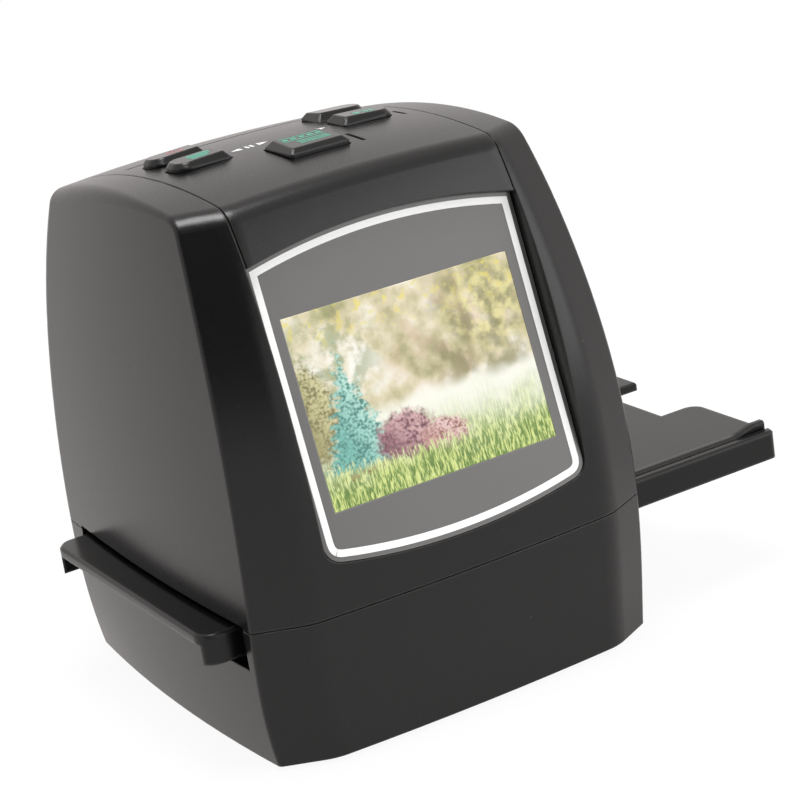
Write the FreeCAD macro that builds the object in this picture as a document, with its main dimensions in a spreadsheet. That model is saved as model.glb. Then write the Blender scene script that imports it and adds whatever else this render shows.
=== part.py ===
import FreeCAD, Part
import os
import re
import Sketcher
from math import atan2, cos, degrees, radians, sin, sqrt, tan

# Desktop film scanner: a curved casing with a display window, top buttons and a film tray.
# Millimetres, X to the right, Y away from the viewer, Z up, feet on Z = 0.
# Each piece is drawn about the casing's middle plane. The tray sticks out further on the
# right, so every finished piece is then moved by frame_shift to centre the whole object.

SIZES = (
    # Casing
    ("body_width", 89.2),
    ("body_depth", 95.0),
    ("body_height", 106.15),
    ("seam_height", 28.35),
    ("wall", 2.0),
    ("seam_gap", 0.25),
    ("front_bow_radius", 520.0),
    ("front_corner_radius", 11.0),
    ("front_bevel_angle", 27.5),
    ("rear_corner_radius", 4.0),
    ("arch_radius", 169.0),
    ("arch_apex", 43.5),
    ("crown_radius", 386.0),
    ("front_top_round", 5.5),
    ("side_top_round", 1.2),
    ("rear_top_round", 4.0),
    ("lip_height", 1.6),
    ("lip_wall", 0.9),
    ("fit_gap", 0.15),
    ("running_gap", 0.3),
    ("overrun", 8.0),
    ("screw_radius", 1.15),
    ("screw_head_radius", 2.1),
    ("screw_head_height", 1.4),
    ("boss_radius", 2.6),
    ("rib_wall", 1.4),
    ("front_boss_x", 27.0),
    ("front_boss_setback", 6.5),
    ("rear_boss_x", 33.0),
    ("rear_boss_setback", 6.2),
    ("boss_split", 14.0),
    ("boss_rise", 9.0),
    ("pilot_bite", 0.2),
    ("small_screw_radius", 0.8),
    ("small_screw_length", 4.0),
    ("small_head_radius", 1.4),
    ("small_head_height", 1.0),
    # Rubber feet
    ("foot_radius", 4.5),
    ("foot_height", 0.8),
    ("foot_seat", 0.6),
    ("foot_x", 30.0),
    ("foot_y", 33.0),
    # Top cover and rear panel
    ("cover_width", 57.4),
    ("cover_end", 12.5),
    ("cover_gap", 0.3),
    ("panel_width", 54.0),
    ("panel_low", 36.0),
    ("panel_high", 84.0),
    ("groove_width", 0.8),
    ("cross_groove_y", 66.8),
    ("scan_groove_x", 8.3),
    ("play_groove_x", 25.1),
    ("groove_margin", 2.7),
    ("groove_depth", 0.8),
    # Display window
    ("window_tilt", 14.74),
    ("window_middle_setback", 7.32),
    ("window_middle_height", 64.71),
    ("window_half_width", 28.75),
    ("window_top", 28.9),
    ("window_top_bow", 3.4),
    ("window_foot", 26.6),
    ("window_foot_bow", 3.2),
    ("window_corner_radius", 3.4),
    ("window_thick", 1.3),
    ("picture_width", 49.0),
    ("picture_height", 36.7),
    ("recess_reach", 7.0),
    ("recess_side_flare", 0.9),
    ("recess_foot_flare", 9.0),
    ("ledge_wall", 1.2),
    ("ledge_width", 2.6),
    ("flange_width", 5.4),
    ("surround_wall", 1.6),
    # Display module
    ("module_width", 58.0),
    ("module_height", 44.0),
    ("module_thick", 3.2),
    ("module_wall", 0.5),
    ("board_thick", 1.2),
    ("screen_lap", 1.1),
    ("ear_x", 31.6),
    ("ear_z", 15.0),
    ("ear_width", 4.4),
    ("screen_gap", 0.08),
    # Buttons
    ("side_button_length", 11.8),
    ("side_button_depth", 7.5),
    ("side_button_x", 18.3),
    ("button_offset", 0.8),
    ("front_row_y", 48.2),
    ("rear_row_y", 59.2),
    ("scan_button_length", 12.9),
    ("scan_button_depth", 11.2),
    ("scan_button_y", 37.2),
    ("cap_height", 1.6),
    ("cap_side", 0.5),
    ("cap_slope", 1.4),
    ("cap_edge_round", 0.25),
    ("scan_cap_slope", 1.7),
    ("button_round", 3.1),
    ("button_small_round", 0.5),
    ("button_flange", 0.75),
    ("flange_thick", 0.8),
    ("button_gap", 0.3),
    ("button_travel", 0.8),
    ("stem_radius", 1.4),
    # Button board
    ("button_board_length", 52.0),
    ("button_board_front", 28.4),
    ("button_board_back", 69.6),
    ("button_board_drop", 8.2),
    ("post_radius", 1.9),
    ("post_x", 22.5),
    ("post_front_y", 31.6),
    ("post_back_y", 66.6),
    ("switch_side", 4.2),
    ("switch_body", 1.5),
    ("switch_plunger", 0.7),
    ("switch_plunger_radius", 1.1),
    # Film tray
    ("tray_left", 51.0),
    ("tray_right", 83.2),
    ("tray_front", 12.3),
    ("tray_depth", 69.5),
    ("tray_top", 28.0),
    ("tray_height", 6.0),
    ("tray_plate", 2.0),
    ("tray_bevel", 0.5),
    ("tray_corner", 3.6),
    ("front_rail", 2.0),
    ("rear_leg", 2.6),
    ("rear_flange", 20.0),
    ("left_plate", 8.4),
    ("tray_floor", 1.2),
    ("tray_floor_right", 60.0),
    ("rail_end_round", 1.6),
    ("film_margin", 5.0),
    ("notch_count", 3),
    ("notch_pitch", 24.0),
    ("notch_width", 1.6),
    ("notch_depth", 0.5),
    # Film carrier inside the tray
    ("carrier_base", 1.9),
    ("carrier_edge", 73.3),
    ("tongue_depth", 24.2),
    ("tongue_end", 82.2),
    ("tongue_round", 3.0),
    ("ridge_width", 1.9),
    ("ridge_low", 0.5),
    ("ridge_high", 1.7),
    ("ridge_crest", 2.7),
    ("ridge_ramp", 5.0),
    ("ridge_soft", 0.4),
    ("tongue_thick", 2.6),
    ("film_mouth", 0.6),
    ("knuckle_length", 8.0),
    ("pin_stop", 1.0),
    ("thumb_notch", 12.0),
    ("lid_left", 42.0),
    ("lid_right", 42.6),
    ("film_width", 35.2),
    ("film_depth", 0.3),
    ("gate_length", 36.4),
    ("gate_width", 24.4),
    ("frame_bar", 1.6),
    ("pin_radius", 0.7),
    ("pin_gap", 0.08),
    ("hinge_knuckle", 1.5),
    # Slots in the casing's sides
    ("slot_front", 9.3),
    ("slot_depth", 75.5),
    ("slot_floor", 20.0),
    ("slot_headroom", 0.9),
    # Tray guide
    ("guide_half_length", 39.5),
    ("guide_floor", 1.7),
    ("guide_leg_radius", 2.6),
    ("guide_leg_x", 34.0),
    ("guide_leg_front", 20.0),
    ("guide_leg_back", 72.0),
    ("guide_screw_x", 33.0),
    ("spring_length", 14.0),
    ("spring_strip", 0.3),
    ("spring_tall", 2.4),
    ("spring_bump", 0.45),
    ("spring_x", 20.0),
    ("spring_seat", 0.9),
    # Lamp house
    ("lamp_box_length", 52.0),
    ("lamp_box_width", 38.0),
    ("lamp_box_wall", 1.4),
    ("lamp_rows", 2),
    ("lamp_columns", 4),
    ("lamp_side", 3.0),
    ("lamp_tall", 1.6),
    ("diffuser_thick", 1.0),
    # Camera
    ("plate_thick", 1.6),
    ("tower_length", 46.0),
    ("tower_width", 34.0),
    ("tower_top_length", 27.0),
    ("tower_top_width", 27.0),
    ("tower_height", 20.0),
    ("tower_wall", 1.3),
    ("tower_flange", 3.5),
    ("barrel_radius", 8.0),
    ("barrel_height", 14.0),
    ("barrel_wall", 1.6),
    ("barrel_seat", 4.0),
    ("lens_radius", 5.2),
    ("lens_bulge_radius", 11.0),
    ("lens_thick", 2.2),
    ("lens_step", 0.8),
    ("sensor_length", 14.0),
    ("sensor_width", 12.0),
    ("sensor_thick", 1.4),
    ("sensor_board_side", 26.0),
    ("sensor_post_radius", 1.5),
    ("sensor_post_place", 10.6),
    # Main board and its parts
    ("main_board_width", 62.0),
    ("main_board_low", 35.0),
    ("main_board_high", 90.0),
    ("main_board_setback", 12.6),
    ("board_post_x", 29.6),
    ("board_post_edge", 2.6),
    ("chip_side", 14.0),
    ("chip_thick", 1.4),
    ("chip_mark_depth", 0.2),
    ("memory_length", 11.0),
    ("memory_width", 8.0),
    ("memory_thick", 1.1),
    ("processor_height", 62.0),
    ("memory_height", 80.0),
    ("memory_x", 14.0),
    ("usb_width", 7.7),
    ("usb_tall", 3.9),
    ("usb_shell", 0.4),
    ("usb_x", 15.0),
    ("port_height", 48.0),
    ("jack_x", 14.0),
    ("jack_radius", 1.75),
    ("jack_side", 6.4),
    ("jack_nose_radius", 2.9),
    ("card_width", 26.0),
    ("card_tall", 3.4),
    ("card_shell", 0.5),
    ("card_height", 62.0),
    ("port_gap", 0.4),
    ("socket_depth", 10.4),
    ("jack_depth", 8.4),
    ("card_depth", 10.2),
    # Ribbons
    ("ribbon_thick", 0.3),
    ("ribbon_width", 9.0),
    ("ribbon_end", 3.0),
    ("display_ribbon_x", 12.0),
    ("display_ribbon_drop", 5.0),
    ("display_ribbon_height", 69.5),
    ("sensor_ribbon_height", 49.0),
    ("button_ribbon_height", 88.0),
    ("lead_run", 38.6),
)

# Plan outlines from the underside to above the crown. Heights follow body_height, widths
# follow half of body_width, and both setbacks follow body_depth.
SECTION_HEIGHT_SHARES = (0.0, 0.267, 0.489, 0.677, 0.828, 1.02)
FRONT_WIDTH_SHARES = (0.9435, 0.980, 0.959, 0.9256, 0.887, 0.8168)
MIDDLE_WIDTH_SHARES = (0.980, 1.0, 0.9776, 0.9395, 0.8946, 0.8185)
REAR_WIDTH_SHARES = (0.9215, 0.953, 0.9327, 0.897, 0.852, 0.772)
FRONT_SETBACK_SHARES = (0.0800, 0.0658, 0.0709, 0.1095, 0.1620, 0.2680)
REAR_SETBACK_SHARES = (0.027, 0.0, 0.0074, 0.0284, 0.059, 0.145)
BEVEL_WIDTH_SHARE = 0.23
WIDEST_POINT_SHARE = 0.55

# Screw recesses follow the head's radius. A direction lies along an axis above ALONG_SHARE.
RECESS_LONG_SHARE = 0.7
RECESS_WIDE_SHARE = 0.13
ALONG_SHARE = 0.9

doc = FreeCAD.newDocument("film_scanner")
sheet = doc.addObject("Spreadsheet::Sheet", "Sizes")
for row, (word, number) in enumerate(SIZES, start=1):
    sheet.set(f"A{row}", word)
    sheet.set(f"B{row}", str(number))
    sheet.setAlias(f"B{row}", word)
doc.recompute()
finished = []


def tied(formula):
    """A formula in the sheet's words, as the document reads it."""
    return re.sub(r"[a-z][a-z_]+(?!\()\b", lambda found: "Sizes." + found.group(0), formula)


def bind(thing, path, formula):
    """Tie one property to a formula in the sheet's words."""
    thing.setExpression(path, tied(formula))


def size(formula):
    """The number that a formula gives now."""
    return float(sheet.evalExpression(tied(formula)))


def spot(x, y, z):
    """A point from three formulas."""
    return FreeCAD.Vector(size(x), size(y), size(z))


# Formulas that several pieces share. Each is a place in the casing's own frame.
FRONT = "(0 - body_depth / 2)"
BACK = "(body_depth / 2)"
FLOOR = "foot_height"
SEAM = "(foot_height + seam_height)"
TRAY_TOP = "(foot_height + tray_top)"
TRAY_FOOT = "(foot_height + tray_top - tray_height)"
TRAY_FRONT = "(tray_front - body_depth / 2)"
TRAY_BACK = "(tray_front + tray_depth - body_depth / 2)"
CARRIER_FRONT = f"({TRAY_FRONT} + front_rail + running_gap)"
CARRIER_BACK = f"({TRAY_BACK} - rear_flange - running_gap)"
FILM_Y = f"(({CARRIER_FRONT} + {CARRIER_BACK}) / 2)"
GUIDE_FLOOR_TOP = f"({TRAY_FOOT} - running_gap)"
GUIDE_FLOOR_FOOT = f"({GUIDE_FLOOR_TOP} - guide_floor)"
GUIDE_FRONT = "(slot_front + fit_gap - body_depth / 2)"
GUIDE_BACK = "(slot_front + slot_depth - fit_gap - body_depth / 2)"
PLATE_FOOT = f"({TRAY_TOP} + ridge_low + running_gap + slot_headroom)"
PLATE_TOP = f"({PLATE_FOOT} + plate_thick)"
CROWN_TOP = "(foot_height + body_height)"
FRAME_SHIFT = "(0 - (tray_right - tray_left) / 2)"


def corners(x, front_y, back_y):
    """Four places, mirrored left and right."""
    return [(sign + x, y) for y in (front_y, back_y) for sign in ("0 - ", "0 + ")]


# Screw posts and screws, as x and y places.
BOSS_PLACES = (corners("front_boss_x", f"{FRONT} + front_boss_setback", "0")[:2]
               + corners("rear_boss_x", "0", f"{BACK} - rear_boss_setback")[2:])
PLATE_SCREWS = corners("guide_screw_x", f"(({GUIDE_FRONT} + {TRAY_FRONT} - running_gap) / 2)",
                       f"(({GUIDE_BACK} + {TRAY_BACK} + running_gap) / 2)")
BUTTON_POSTS = corners("post_x", f"{FRONT} + post_front_y", f"{FRONT} + post_back_y")

# Film holder, lamp house and camera.
CARRIER_FOOT = f"({TRAY_FOOT} + tray_floor + running_gap)"
CARRIER_TOP = f"({CARRIER_FOOT} + carrier_base)"
PIN_Y = f"({CARRIER_BACK} - hinge_knuckle)"
PIN_Z = f"({CARRIER_TOP} + hinge_knuckle - fit_gap)"
LID_LEFT = "(0 - lid_left)"
KNUCKLE_LEFT = "(0 - lid_left + knuckle_length)"
KNUCKLE_RIGHT = "(lid_right - knuckle_length)"
LAMP_FLOOR = f"({FLOOR} + wall)"
LAMP_BOARD_TOP = f"({LAMP_FLOOR} + board_thick)"
LAMP_TOP = f"({GUIDE_FLOOR_FOOT} - running_gap)"
TOWER_TOP = f"({PLATE_TOP} + tower_height)"
BARREL_FOOT = f"({TOWER_TOP} - barrel_seat)"
BARREL_TOP = f"({BARREL_FOOT} + barrel_height)"
UPPER_SEAT = f"({BARREL_TOP} - lens_thick - barrel_wall)"
SENSOR_FOOT = f"({BARREL_TOP} + running_gap)"
SENSOR_BOARD_FOOT = f"({SENSOR_FOOT} + sensor_thick)"

# Places of the boards and of what stands on them.
BOARD_BACK = f"({BACK} - main_board_setback + board_thick)"
BOARD_FRONT = f"({BACK} - main_board_setback)"
BOARD_TOP = f"({CROWN_TOP} - button_board_drop)"
BOARD_POST_LOW = f"({FLOOR} + main_board_low + board_post_edge)"
BOARD_POST_HIGH = f"({FLOOR} + main_board_high - board_post_edge)"
BOARD_POSTS = [(sign + "board_post_x", z) for z in (BOARD_POST_LOW, BOARD_POST_HIGH)
               for sign in ("0 - ", "0 + ")]
MODULE_EARS = [(sign + "ear_x", z) for z in ("0 - ear_z", "ear_z") for sign in ("0 - ", "0 + ")]
PORT_Z = f"({FLOOR} + port_height)"
CARD_Z = f"({FLOOR} + card_height)"
USB_X = "(0 - usb_x)"
JACK_X = "jack_x"

# Buttons: middle x, middle y from the front, length, depth, slope of the sides and round end.
BUTTONS = {
    "power_button": ("(0 - side_button_x - button_offset)", "rear_row_y", "side_button_length",
                     "side_button_depth", "cap_slope", -1),
    "mode_button": ("(0 - side_button_x - button_offset)", "front_row_y", "side_button_length",
                    "side_button_depth", "cap_slope", -1),
    "scan_button": ("(0 - button_offset)", "scan_button_y", "scan_button_length",
                    "scan_button_depth", "scan_cap_slope", 0),
    "mirror_button": ("(side_button_x - button_offset)", "rear_row_y", "side_button_length",
                      "side_button_depth", "cap_slope", 1),
    "play_button": ("(side_button_x - button_offset)", "front_row_y", "side_button_length",
                    "side_button_depth", "cap_slope", 1),
}

# Grooves in the cover as pairs of x limits and y limits.
GROOVES = (
    (("groove_margin - cover_width / 2", "cover_width / 2 - groove_margin"),
     (f"{FRONT} + cross_groove_y", f"{FRONT} + cross_groove_y + groove_width")),
    (("scan_groove_x", "scan_groove_x + groove_width"),
     (f"{FRONT} + scan_button_y - scan_button_depth / 2", f"{FRONT} + scan_button_y + cap_slope")),
    (("play_groove_x", "play_groove_x + groove_width"),
     (f"{FRONT} + front_row_y - side_button_depth / 2", f"{FRONT} + front_row_y + cap_slope")),
)

# Display tray and flat cables.
FRAME_FRONT = "(window_thick + ledge_wall)"
HALF_RIBBON = "ribbon_thick / 2"


def crown_at(x, y):
    """Height of the crowned top above the point x, y, where y is measured from the front."""
    across = f"({x}) * ({x}) / (2 * crown_radius)"
    along = f"(({y}) - arch_apex) * (({y}) - arch_apex) / (2 * arch_radius)"
    return f"({CROWN_TOP} - {across} - {along})"


def finish(label, thing):
    """Give a sub-part its name and its place in the whole object's frame."""
    thing.Label = label
    bind(thing, ".Placement.Base.x", FRAME_SHIFT)
    finished.append(thing)
    return thing


def block(name, x, y, z):
    """A box between pairs of formulas."""
    box = doc.addObject("Part::Box", name)
    for side, (low, high), axis in (("Length", x, "x"), ("Width", y, "y"), ("Height", z, "z")):
        bind(box, side, f"({high}) - ({low})")
        bind(box, f".Placement.Base.{axis}", low)
    return box


def rod(name, radius, x, y, z):
    """An upright cylinder between two heights."""
    cylinder = doc.addObject("Part::Cylinder", name)
    bind(cylinder, "Radius", radius)
    bind(cylinder, "Height", f"({z[1]}) - ({z[0]})")
    for axis, formula in (("x", x), ("y", y), ("z", z[0])):
        bind(cylinder, f".Placement.Base.{axis}", formula)
    return cylinder


def lying_rod(name, radius, axis, start, end, first, second):
    """A cylinder along X (first, second are y, z) or along Y (first, second are x, z)."""
    cylinder = doc.addObject("Part::Cylinder", name)
    bind(cylinder, "Radius", radius)
    bind(cylinder, "Height", f"({end}) - ({start})")
    if axis == "x":
        cylinder.Placement.Rotation = FreeCAD.Rotation(FreeCAD.Vector(0, 1, 0), 90)
        places = (("x", start), ("y", first), ("z", second))
    else:
        cylinder.Placement.Rotation = FreeCAD.Rotation(FreeCAD.Vector(1, 0, 0), -90)
        places = (("x", first), ("y", start), ("z", second))
    for letter, formula in places:
        bind(cylinder, f".Placement.Base.{letter}", formula)
    return cylinder


def fused(name, *pieces):
    """Several shapes joined into one."""
    union = doc.addObject("Part::MultiFuse", name)
    union.Shapes = list(pieces)
    union.Refine = True
    return union


def carved(name, base, *tools):
    """A shape with others cut away."""
    cut = doc.addObject("Part::Cut", name)
    cut.Base = base
    cut.Tool = tools[0] if len(tools) == 1 else fused(name + "_tools", *tools)
    cut.Refine = True
    return cut


def group(name, *pieces):
    """Separate solids that share one sub-part."""
    compound = doc.addObject("Part::Compound", name)
    compound.Links = list(pieces)
    return compound


def solid_feature(name, shape):
    """A shape that only surface functions can give, kept as a document object."""
    feature = doc.addObject("Part::Feature", name)
    feature.Shape = shape
    return feature


def origin_plane(body, role):
    """One of a body's own origin planes."""
    return next(item for item in body.Origin.OriginFeatures if item.Role == role)


def sketch_on(body, name, role, offset):
    """An empty sketch on one of the body's planes, raised by a formula."""
    sketch = body.newObject("Sketcher::SketchObject", name)
    sketch.AttachmentSupport = [(origin_plane(body, role), "")]
    sketch.MapMode = "FlatFace"
    bind(sketch, ".AttachmentOffset.Base.z", offset)
    return sketch


def polygon(sketch, points):
    """A closed outline whose corners are formulas."""
    count = len(points)
    places = [FreeCAD.Vector(size(x), size(y), 0) for x, y in points]
    first = sketch.GeometryCount
    for index, place in enumerate(places):
        sketch.addGeometry(Part.LineSegment(place, places[(index + 1) % count]), False)
    for index, (x, y) in enumerate(points):
        line = first + index
        after = first + (index + 1) % count
        sketch.addConstraint(Sketcher.Constraint("Coincident", line, 2, after, 1))
        across = sketch.addConstraint(
            Sketcher.Constraint("DistanceX", -1, 1, line, 1, places[index].x))
        upward = sketch.addConstraint(
            Sketcher.Constraint("DistanceY", -1, 1, line, 1, places[index].y))
        bind(sketch, f"Constraints[{across}]", x)
        bind(sketch, f"Constraints[{upward}]", y)


def ring(sketch, x, y, radius):
    """A circle whose centre and radius are formulas."""
    place = FreeCAD.Vector(size(x), size(y), 0)
    circle = Part.Circle(place, FreeCAD.Vector(0, 0, 1), size(radius))
    index = sketch.addGeometry(circle, False)
    across = sketch.addConstraint(Sketcher.Constraint("DistanceX", -1, 1, index, 3, place.x))
    upward = sketch.addConstraint(Sketcher.Constraint("DistanceY", -1, 1, index, 3, place.y))
    wide = sketch.addConstraint(Sketcher.Constraint("Radius", index, size(radius)))
    bind(sketch, f"Constraints[{across}]", x)
    bind(sketch, f"Constraints[{upward}]", y)
    bind(sketch, f"Constraints[{wide}]", radius)


def rectangle(x, y):
    """Corner formulas of a rectangle between pairs of formulas."""
    return [(x[0], y[0]), (x[1], y[0]), (x[1], y[1]), (x[0], y[1])]


def pad(body, name, points, foot, thick, circles=()):
    """Pad an outline, with round holes, upwards from a height."""
    sketch = sketch_on(body, name + "_sketch", "XY_Plane", foot)
    polygon(sketch, points)
    for circle in circles:
        ring(sketch, *circle)
    feature = body.newObject("PartDesign::Pad", name)
    feature.Profile = sketch
    bind(feature, "Length", thick)
    doc.recompute()
    return feature


def pocket(body, name, points, top, deep, circles=()):
    """Cut an outline downwards from a height."""
    before = body.Shape.Volume
    sketch = sketch_on(body, name + "_sketch", "XY_Plane", top)
    if points:
        polygon(sketch, points)
    for circle in circles:
        ring(sketch, *circle)
    feature = body.newObject("PartDesign::Pocket", name)
    feature.Profile = sketch
    bind(feature, "Length", deep)
    doc.recompute()
    if not body.Shape.Volume < before:
        raise RuntimeError(name + " cuts nothing")
    return feature


def edges_where(feature, test):
    """Names of a feature's edges whose middle point and direction pass a test."""
    names = []
    for index, edge in enumerate(feature.Shape.Edges, start=1):
        middle = edge.valueAt((edge.FirstParameter + edge.LastParameter) / 2)
        along = edge.tangentAt((edge.FirstParameter + edge.LastParameter) / 2)
        if test(middle, along):
            names.append(f"Edge{index}")
    return names


def rounded(body, name, feature, test, radius, kind="PartDesign::Fillet"):
    """Round or bevel the edges that pass a test."""
    dress = body.newObject(kind, name)
    dress.Base = (feature, edges_where(feature, test))
    bind(dress, "Radius" if kind.endswith("Fillet") else "Size", radius)
    doc.recompute()
    return dress


def near(number, formula):
    """Whether a measured number lies at a formula's value."""
    return abs(number - size(formula)) < size("fit_gap") / 2


def new_body(name):
    """An empty body for sketches and features."""
    return doc.addObject("PartDesign::Body", name)


# Casing surfaces

def plan_outline(section):
    """Plan outline of the casing at one of its heights, as a closed wire."""
    height = size("body_height") * SECTION_HEIGHT_SHARES[section] + size("foot_height")
    half = size("body_width") / 2
    depth = size("body_depth")
    edge_x = half * FRONT_WIDTH_SHARES[section]
    edge_y = depth * FRONT_SETBACK_SHARES[section] - depth / 2
    middle_x = half * MIDDLE_WIDTH_SHARES[section]
    rear_x = half * REAR_WIDTH_SHARES[section]
    rear_y = depth / 2 - depth * REAR_SETBACK_SHARES[section]
    middle_y = edge_y + (rear_y - edge_y) * WIDEST_POINT_SHARE
    slope = radians(size("front_bevel_angle"))
    bow = size("front_bow_radius")
    corner = size("front_corner_radius")
    rear_corner = size("rear_corner_radius")
    up = FreeCAD.Vector(0, 0, 1)

    # The bevel line runs from the sharp edge inwards and forwards. The bow's circle passes
    # through the point where that line ends.
    bevel = edge_x * BEVEL_WIDTH_SHARE
    bevel_end = FreeCAD.Vector(edge_x - bevel, edge_y - bevel * tan(slope), height)
    bow_centre = FreeCAD.Vector(0, bevel_end.y + sqrt(bow ** 2 - bevel_end.x ** 2), height)

    # The soft corner touches the bow from inside and the bevel line.
    inward = FreeCAD.Vector(-sin(slope), cos(slope), 0)
    along = FreeCAD.Vector(-cos(slope), -sin(slope), 0)
    start = FreeCAD.Vector(edge_x, edge_y, height) + inward * corner
    offset = start - bow_centre
    half_b = offset.dot(along)
    reach = -half_b - sqrt(half_b ** 2 - offset.dot(offset) + (bow - corner) ** 2)
    if reach < 0:
        reach = -half_b + sqrt(half_b ** 2 - offset.dot(offset) + (bow - corner) ** 2)
    corner_centre = start + along * reach
    on_bevel = corner_centre - inward * corner
    away = (corner_centre - bow_centre).normalize()
    on_bow = bow_centre + away * bow

    # The side is one arc through the sharp edge, the widest point and the rear end.
    side = Part.Arc(FreeCAD.Vector(edge_x, edge_y, height),
                    FreeCAD.Vector(middle_x, middle_y, height),
                    FreeCAD.Vector(rear_x, rear_y, height)).toShape().Curve
    side_centre = side.Center
    side_radius = side.Radius
    rear_centre = FreeCAD.Vector(0, rear_y - rear_corner, height)
    rear_centre.x = side_centre.x + sqrt((side_radius - rear_corner) ** 2
                                         - (rear_centre.y - side_centre.y) ** 2)
    outward = (rear_centre - side_centre).normalize()
    on_side = side_centre + outward * side_radius
    on_back = FreeCAD.Vector(rear_centre.x, rear_y, height)

    def arc(centre, radius, first, last):
        bisector = ((first - centre) + (last - centre)).normalize()
        return Part.Arc(first, centre + bisector * radius, last).toShape()

    def mirrored(point):
        return FreeCAD.Vector(-point.x, point.y, point.z)

    sharp = FreeCAD.Vector(edge_x, edge_y, height)
    front = Part.Arc(mirrored(on_bow), bow_centre - up.cross(FreeCAD.Vector(1, 0, 0)) * bow, on_bow)
    edges = [front.toShape()]
    edges.append(arc(corner_centre, corner, on_bow, on_bevel))
    edges.append(Part.LineSegment(on_bevel, sharp).toShape())
    edges.append(arc(side_centre, side_radius, sharp, on_side))
    edges.append(arc(rear_centre, rear_corner, on_side, on_back))
    edges.append(Part.LineSegment(on_back, mirrored(on_back)).toShape())
    edges.append(arc(mirrored(rear_centre), rear_corner, mirrored(on_back), mirrored(on_side)))
    edges.append(arc(mirrored(side_centre), side_radius, mirrored(on_side), mirrored(sharp)))
    edges.append(Part.LineSegment(mirrored(sharp), mirrored(on_bevel)).toShape())
    edges.append(arc(mirrored(corner_centre), corner, mirrored(on_bevel), mirrored(on_bow)))
    return Part.Wire(edges)


def crown_solid(inset):
    """Everything under the crowned top, lowered by an inset."""
    arch = size("arch_radius")
    crown = size("crown_radius")
    top = size(CROWN_TOP)
    apex = size("arch_apex") + size(FRONT)
    reach = size("body_depth / 2 + overrun")
    arch_centre = FreeCAD.Vector(0, apex, top - arch)

    def on_arch(y):
        return FreeCAD.Vector(0, y, arch_centre.z + sqrt((arch - inset) ** 2 - (y - apex) ** 2))

    low = -size("overrun")
    roof = Part.Arc(on_arch(-reach), on_arch(apex), on_arch(reach)).toShape()
    back = Part.LineSegment(on_arch(reach), FreeCAD.Vector(0, reach, low)).toShape()
    under = Part.LineSegment(FreeCAD.Vector(0, reach, low), FreeCAD.Vector(0, -reach, low)).toShape()
    front = Part.LineSegment(FreeCAD.Vector(0, -reach, low), on_arch(-reach)).toShape()
    face = Part.Face(Part.Wire([roof, back, under, front]))
    axis_point = FreeCAD.Vector(0, 0, top - crown)
    swing = 2 * degrees(atan2(size("body_width / 2 + overrun"), crown - top))
    face.rotate(axis_point, FreeCAD.Vector(0, 1, 0), -swing / 2)
    return face.revolve(axis_point, FreeCAD.Vector(0, 1, 0), swing)


def envelope(inset):
    """The casing's outer form, shrunk by an inset on every side."""
    wires = []
    for section in range(len(SECTION_HEIGHT_SHARES)):
        outline = plan_outline(section)
        wires.append(outline.makeOffset2D(-inset) if inset else outline)
    form = Part.makeLoft(wires, True, False).common(crown_solid(inset)).Solids[0]
    crown_low = size(f"{SEAM} + (body_height - seam_height) / 2")
    soft = [edge for edge, middle, along in edge_rows(form)
            if middle.z > crown_low and abs(along.z) < abs(along.x) and middle.y < size(FRONT) / 2]
    return form.makeFillet(size("front_top_round") - inset, soft)


def edge_rows(shape):
    """Every edge of a shape with its middle point and its direction there."""
    rows = []
    for edge in shape.Edges:
        half_way = (edge.FirstParameter + edge.LastParameter) / 2
        rows.append((edge, edge.valueAt(half_way), edge.tangentAt(half_way)))
    return rows


def softened(form):
    """The casing's outer form with round edges, growing softer towards the back of the top."""
    crown_low = size(f"{SEAM} + (body_height - seam_height) / 2")
    small = size("side_top_round")
    large = size("rear_top_round")
    rows = []
    for index, (edge, middle, along) in enumerate(edge_rows(form), start=1):
        high = middle.z > crown_low
        if high and abs(along.y) > ALONG_SHARE:
            forward = edge.valueAt(edge.FirstParameter).y < edge.valueAt(edge.LastParameter).y
            rows.append((index, small, large) if forward else (index, large, small))
        elif high and abs(along.z) < ALONG_SHARE / 2 and middle.y > size(BACK) / 2:
            rows.append((index, large, large))
    base = solid_feature("outer_form", form)
    fillet = doc.addObject("Part::Fillet", "outer_edges")
    fillet.Base = base
    fillet.Edges = rows
    doc.recompute()
    return fillet.Shape.Solids[0]


def box_shape(x, y, z):
    """A plain box shape between pairs of formulas."""
    low = spot(x[0], y[0], z[0])
    high = spot(x[1], y[1], z[1])
    return Part.makeBox(high.x - low.x, high.y - low.y, high.z - low.z, low)


def slab(low, high):
    """Everything of the casing's size between two heights."""
    wide = "body_width / 2 + overrun"
    deep = "body_depth / 2 + overrun"
    return box_shape((f"0 - ({wide})", wide), (f"0 - ({deep})", deep), (low, high))


def upright(radius, x, y, low, high):
    """A round post shape."""
    foot = spot(x, y, low)
    return Part.makeCylinder(size(radius), size(high) - foot.z, foot)


def window_place():
    """Placement of the display window's own frame: X across, Z up the window, Y inwards."""
    base = spot("0", f"{FRONT} + window_middle_setback", f"{FLOOR} + window_middle_height")
    return FreeCAD.Placement(base, FreeCAD.Rotation(FreeCAD.Vector(-1, 0, 0), size("window_tilt")))


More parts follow.
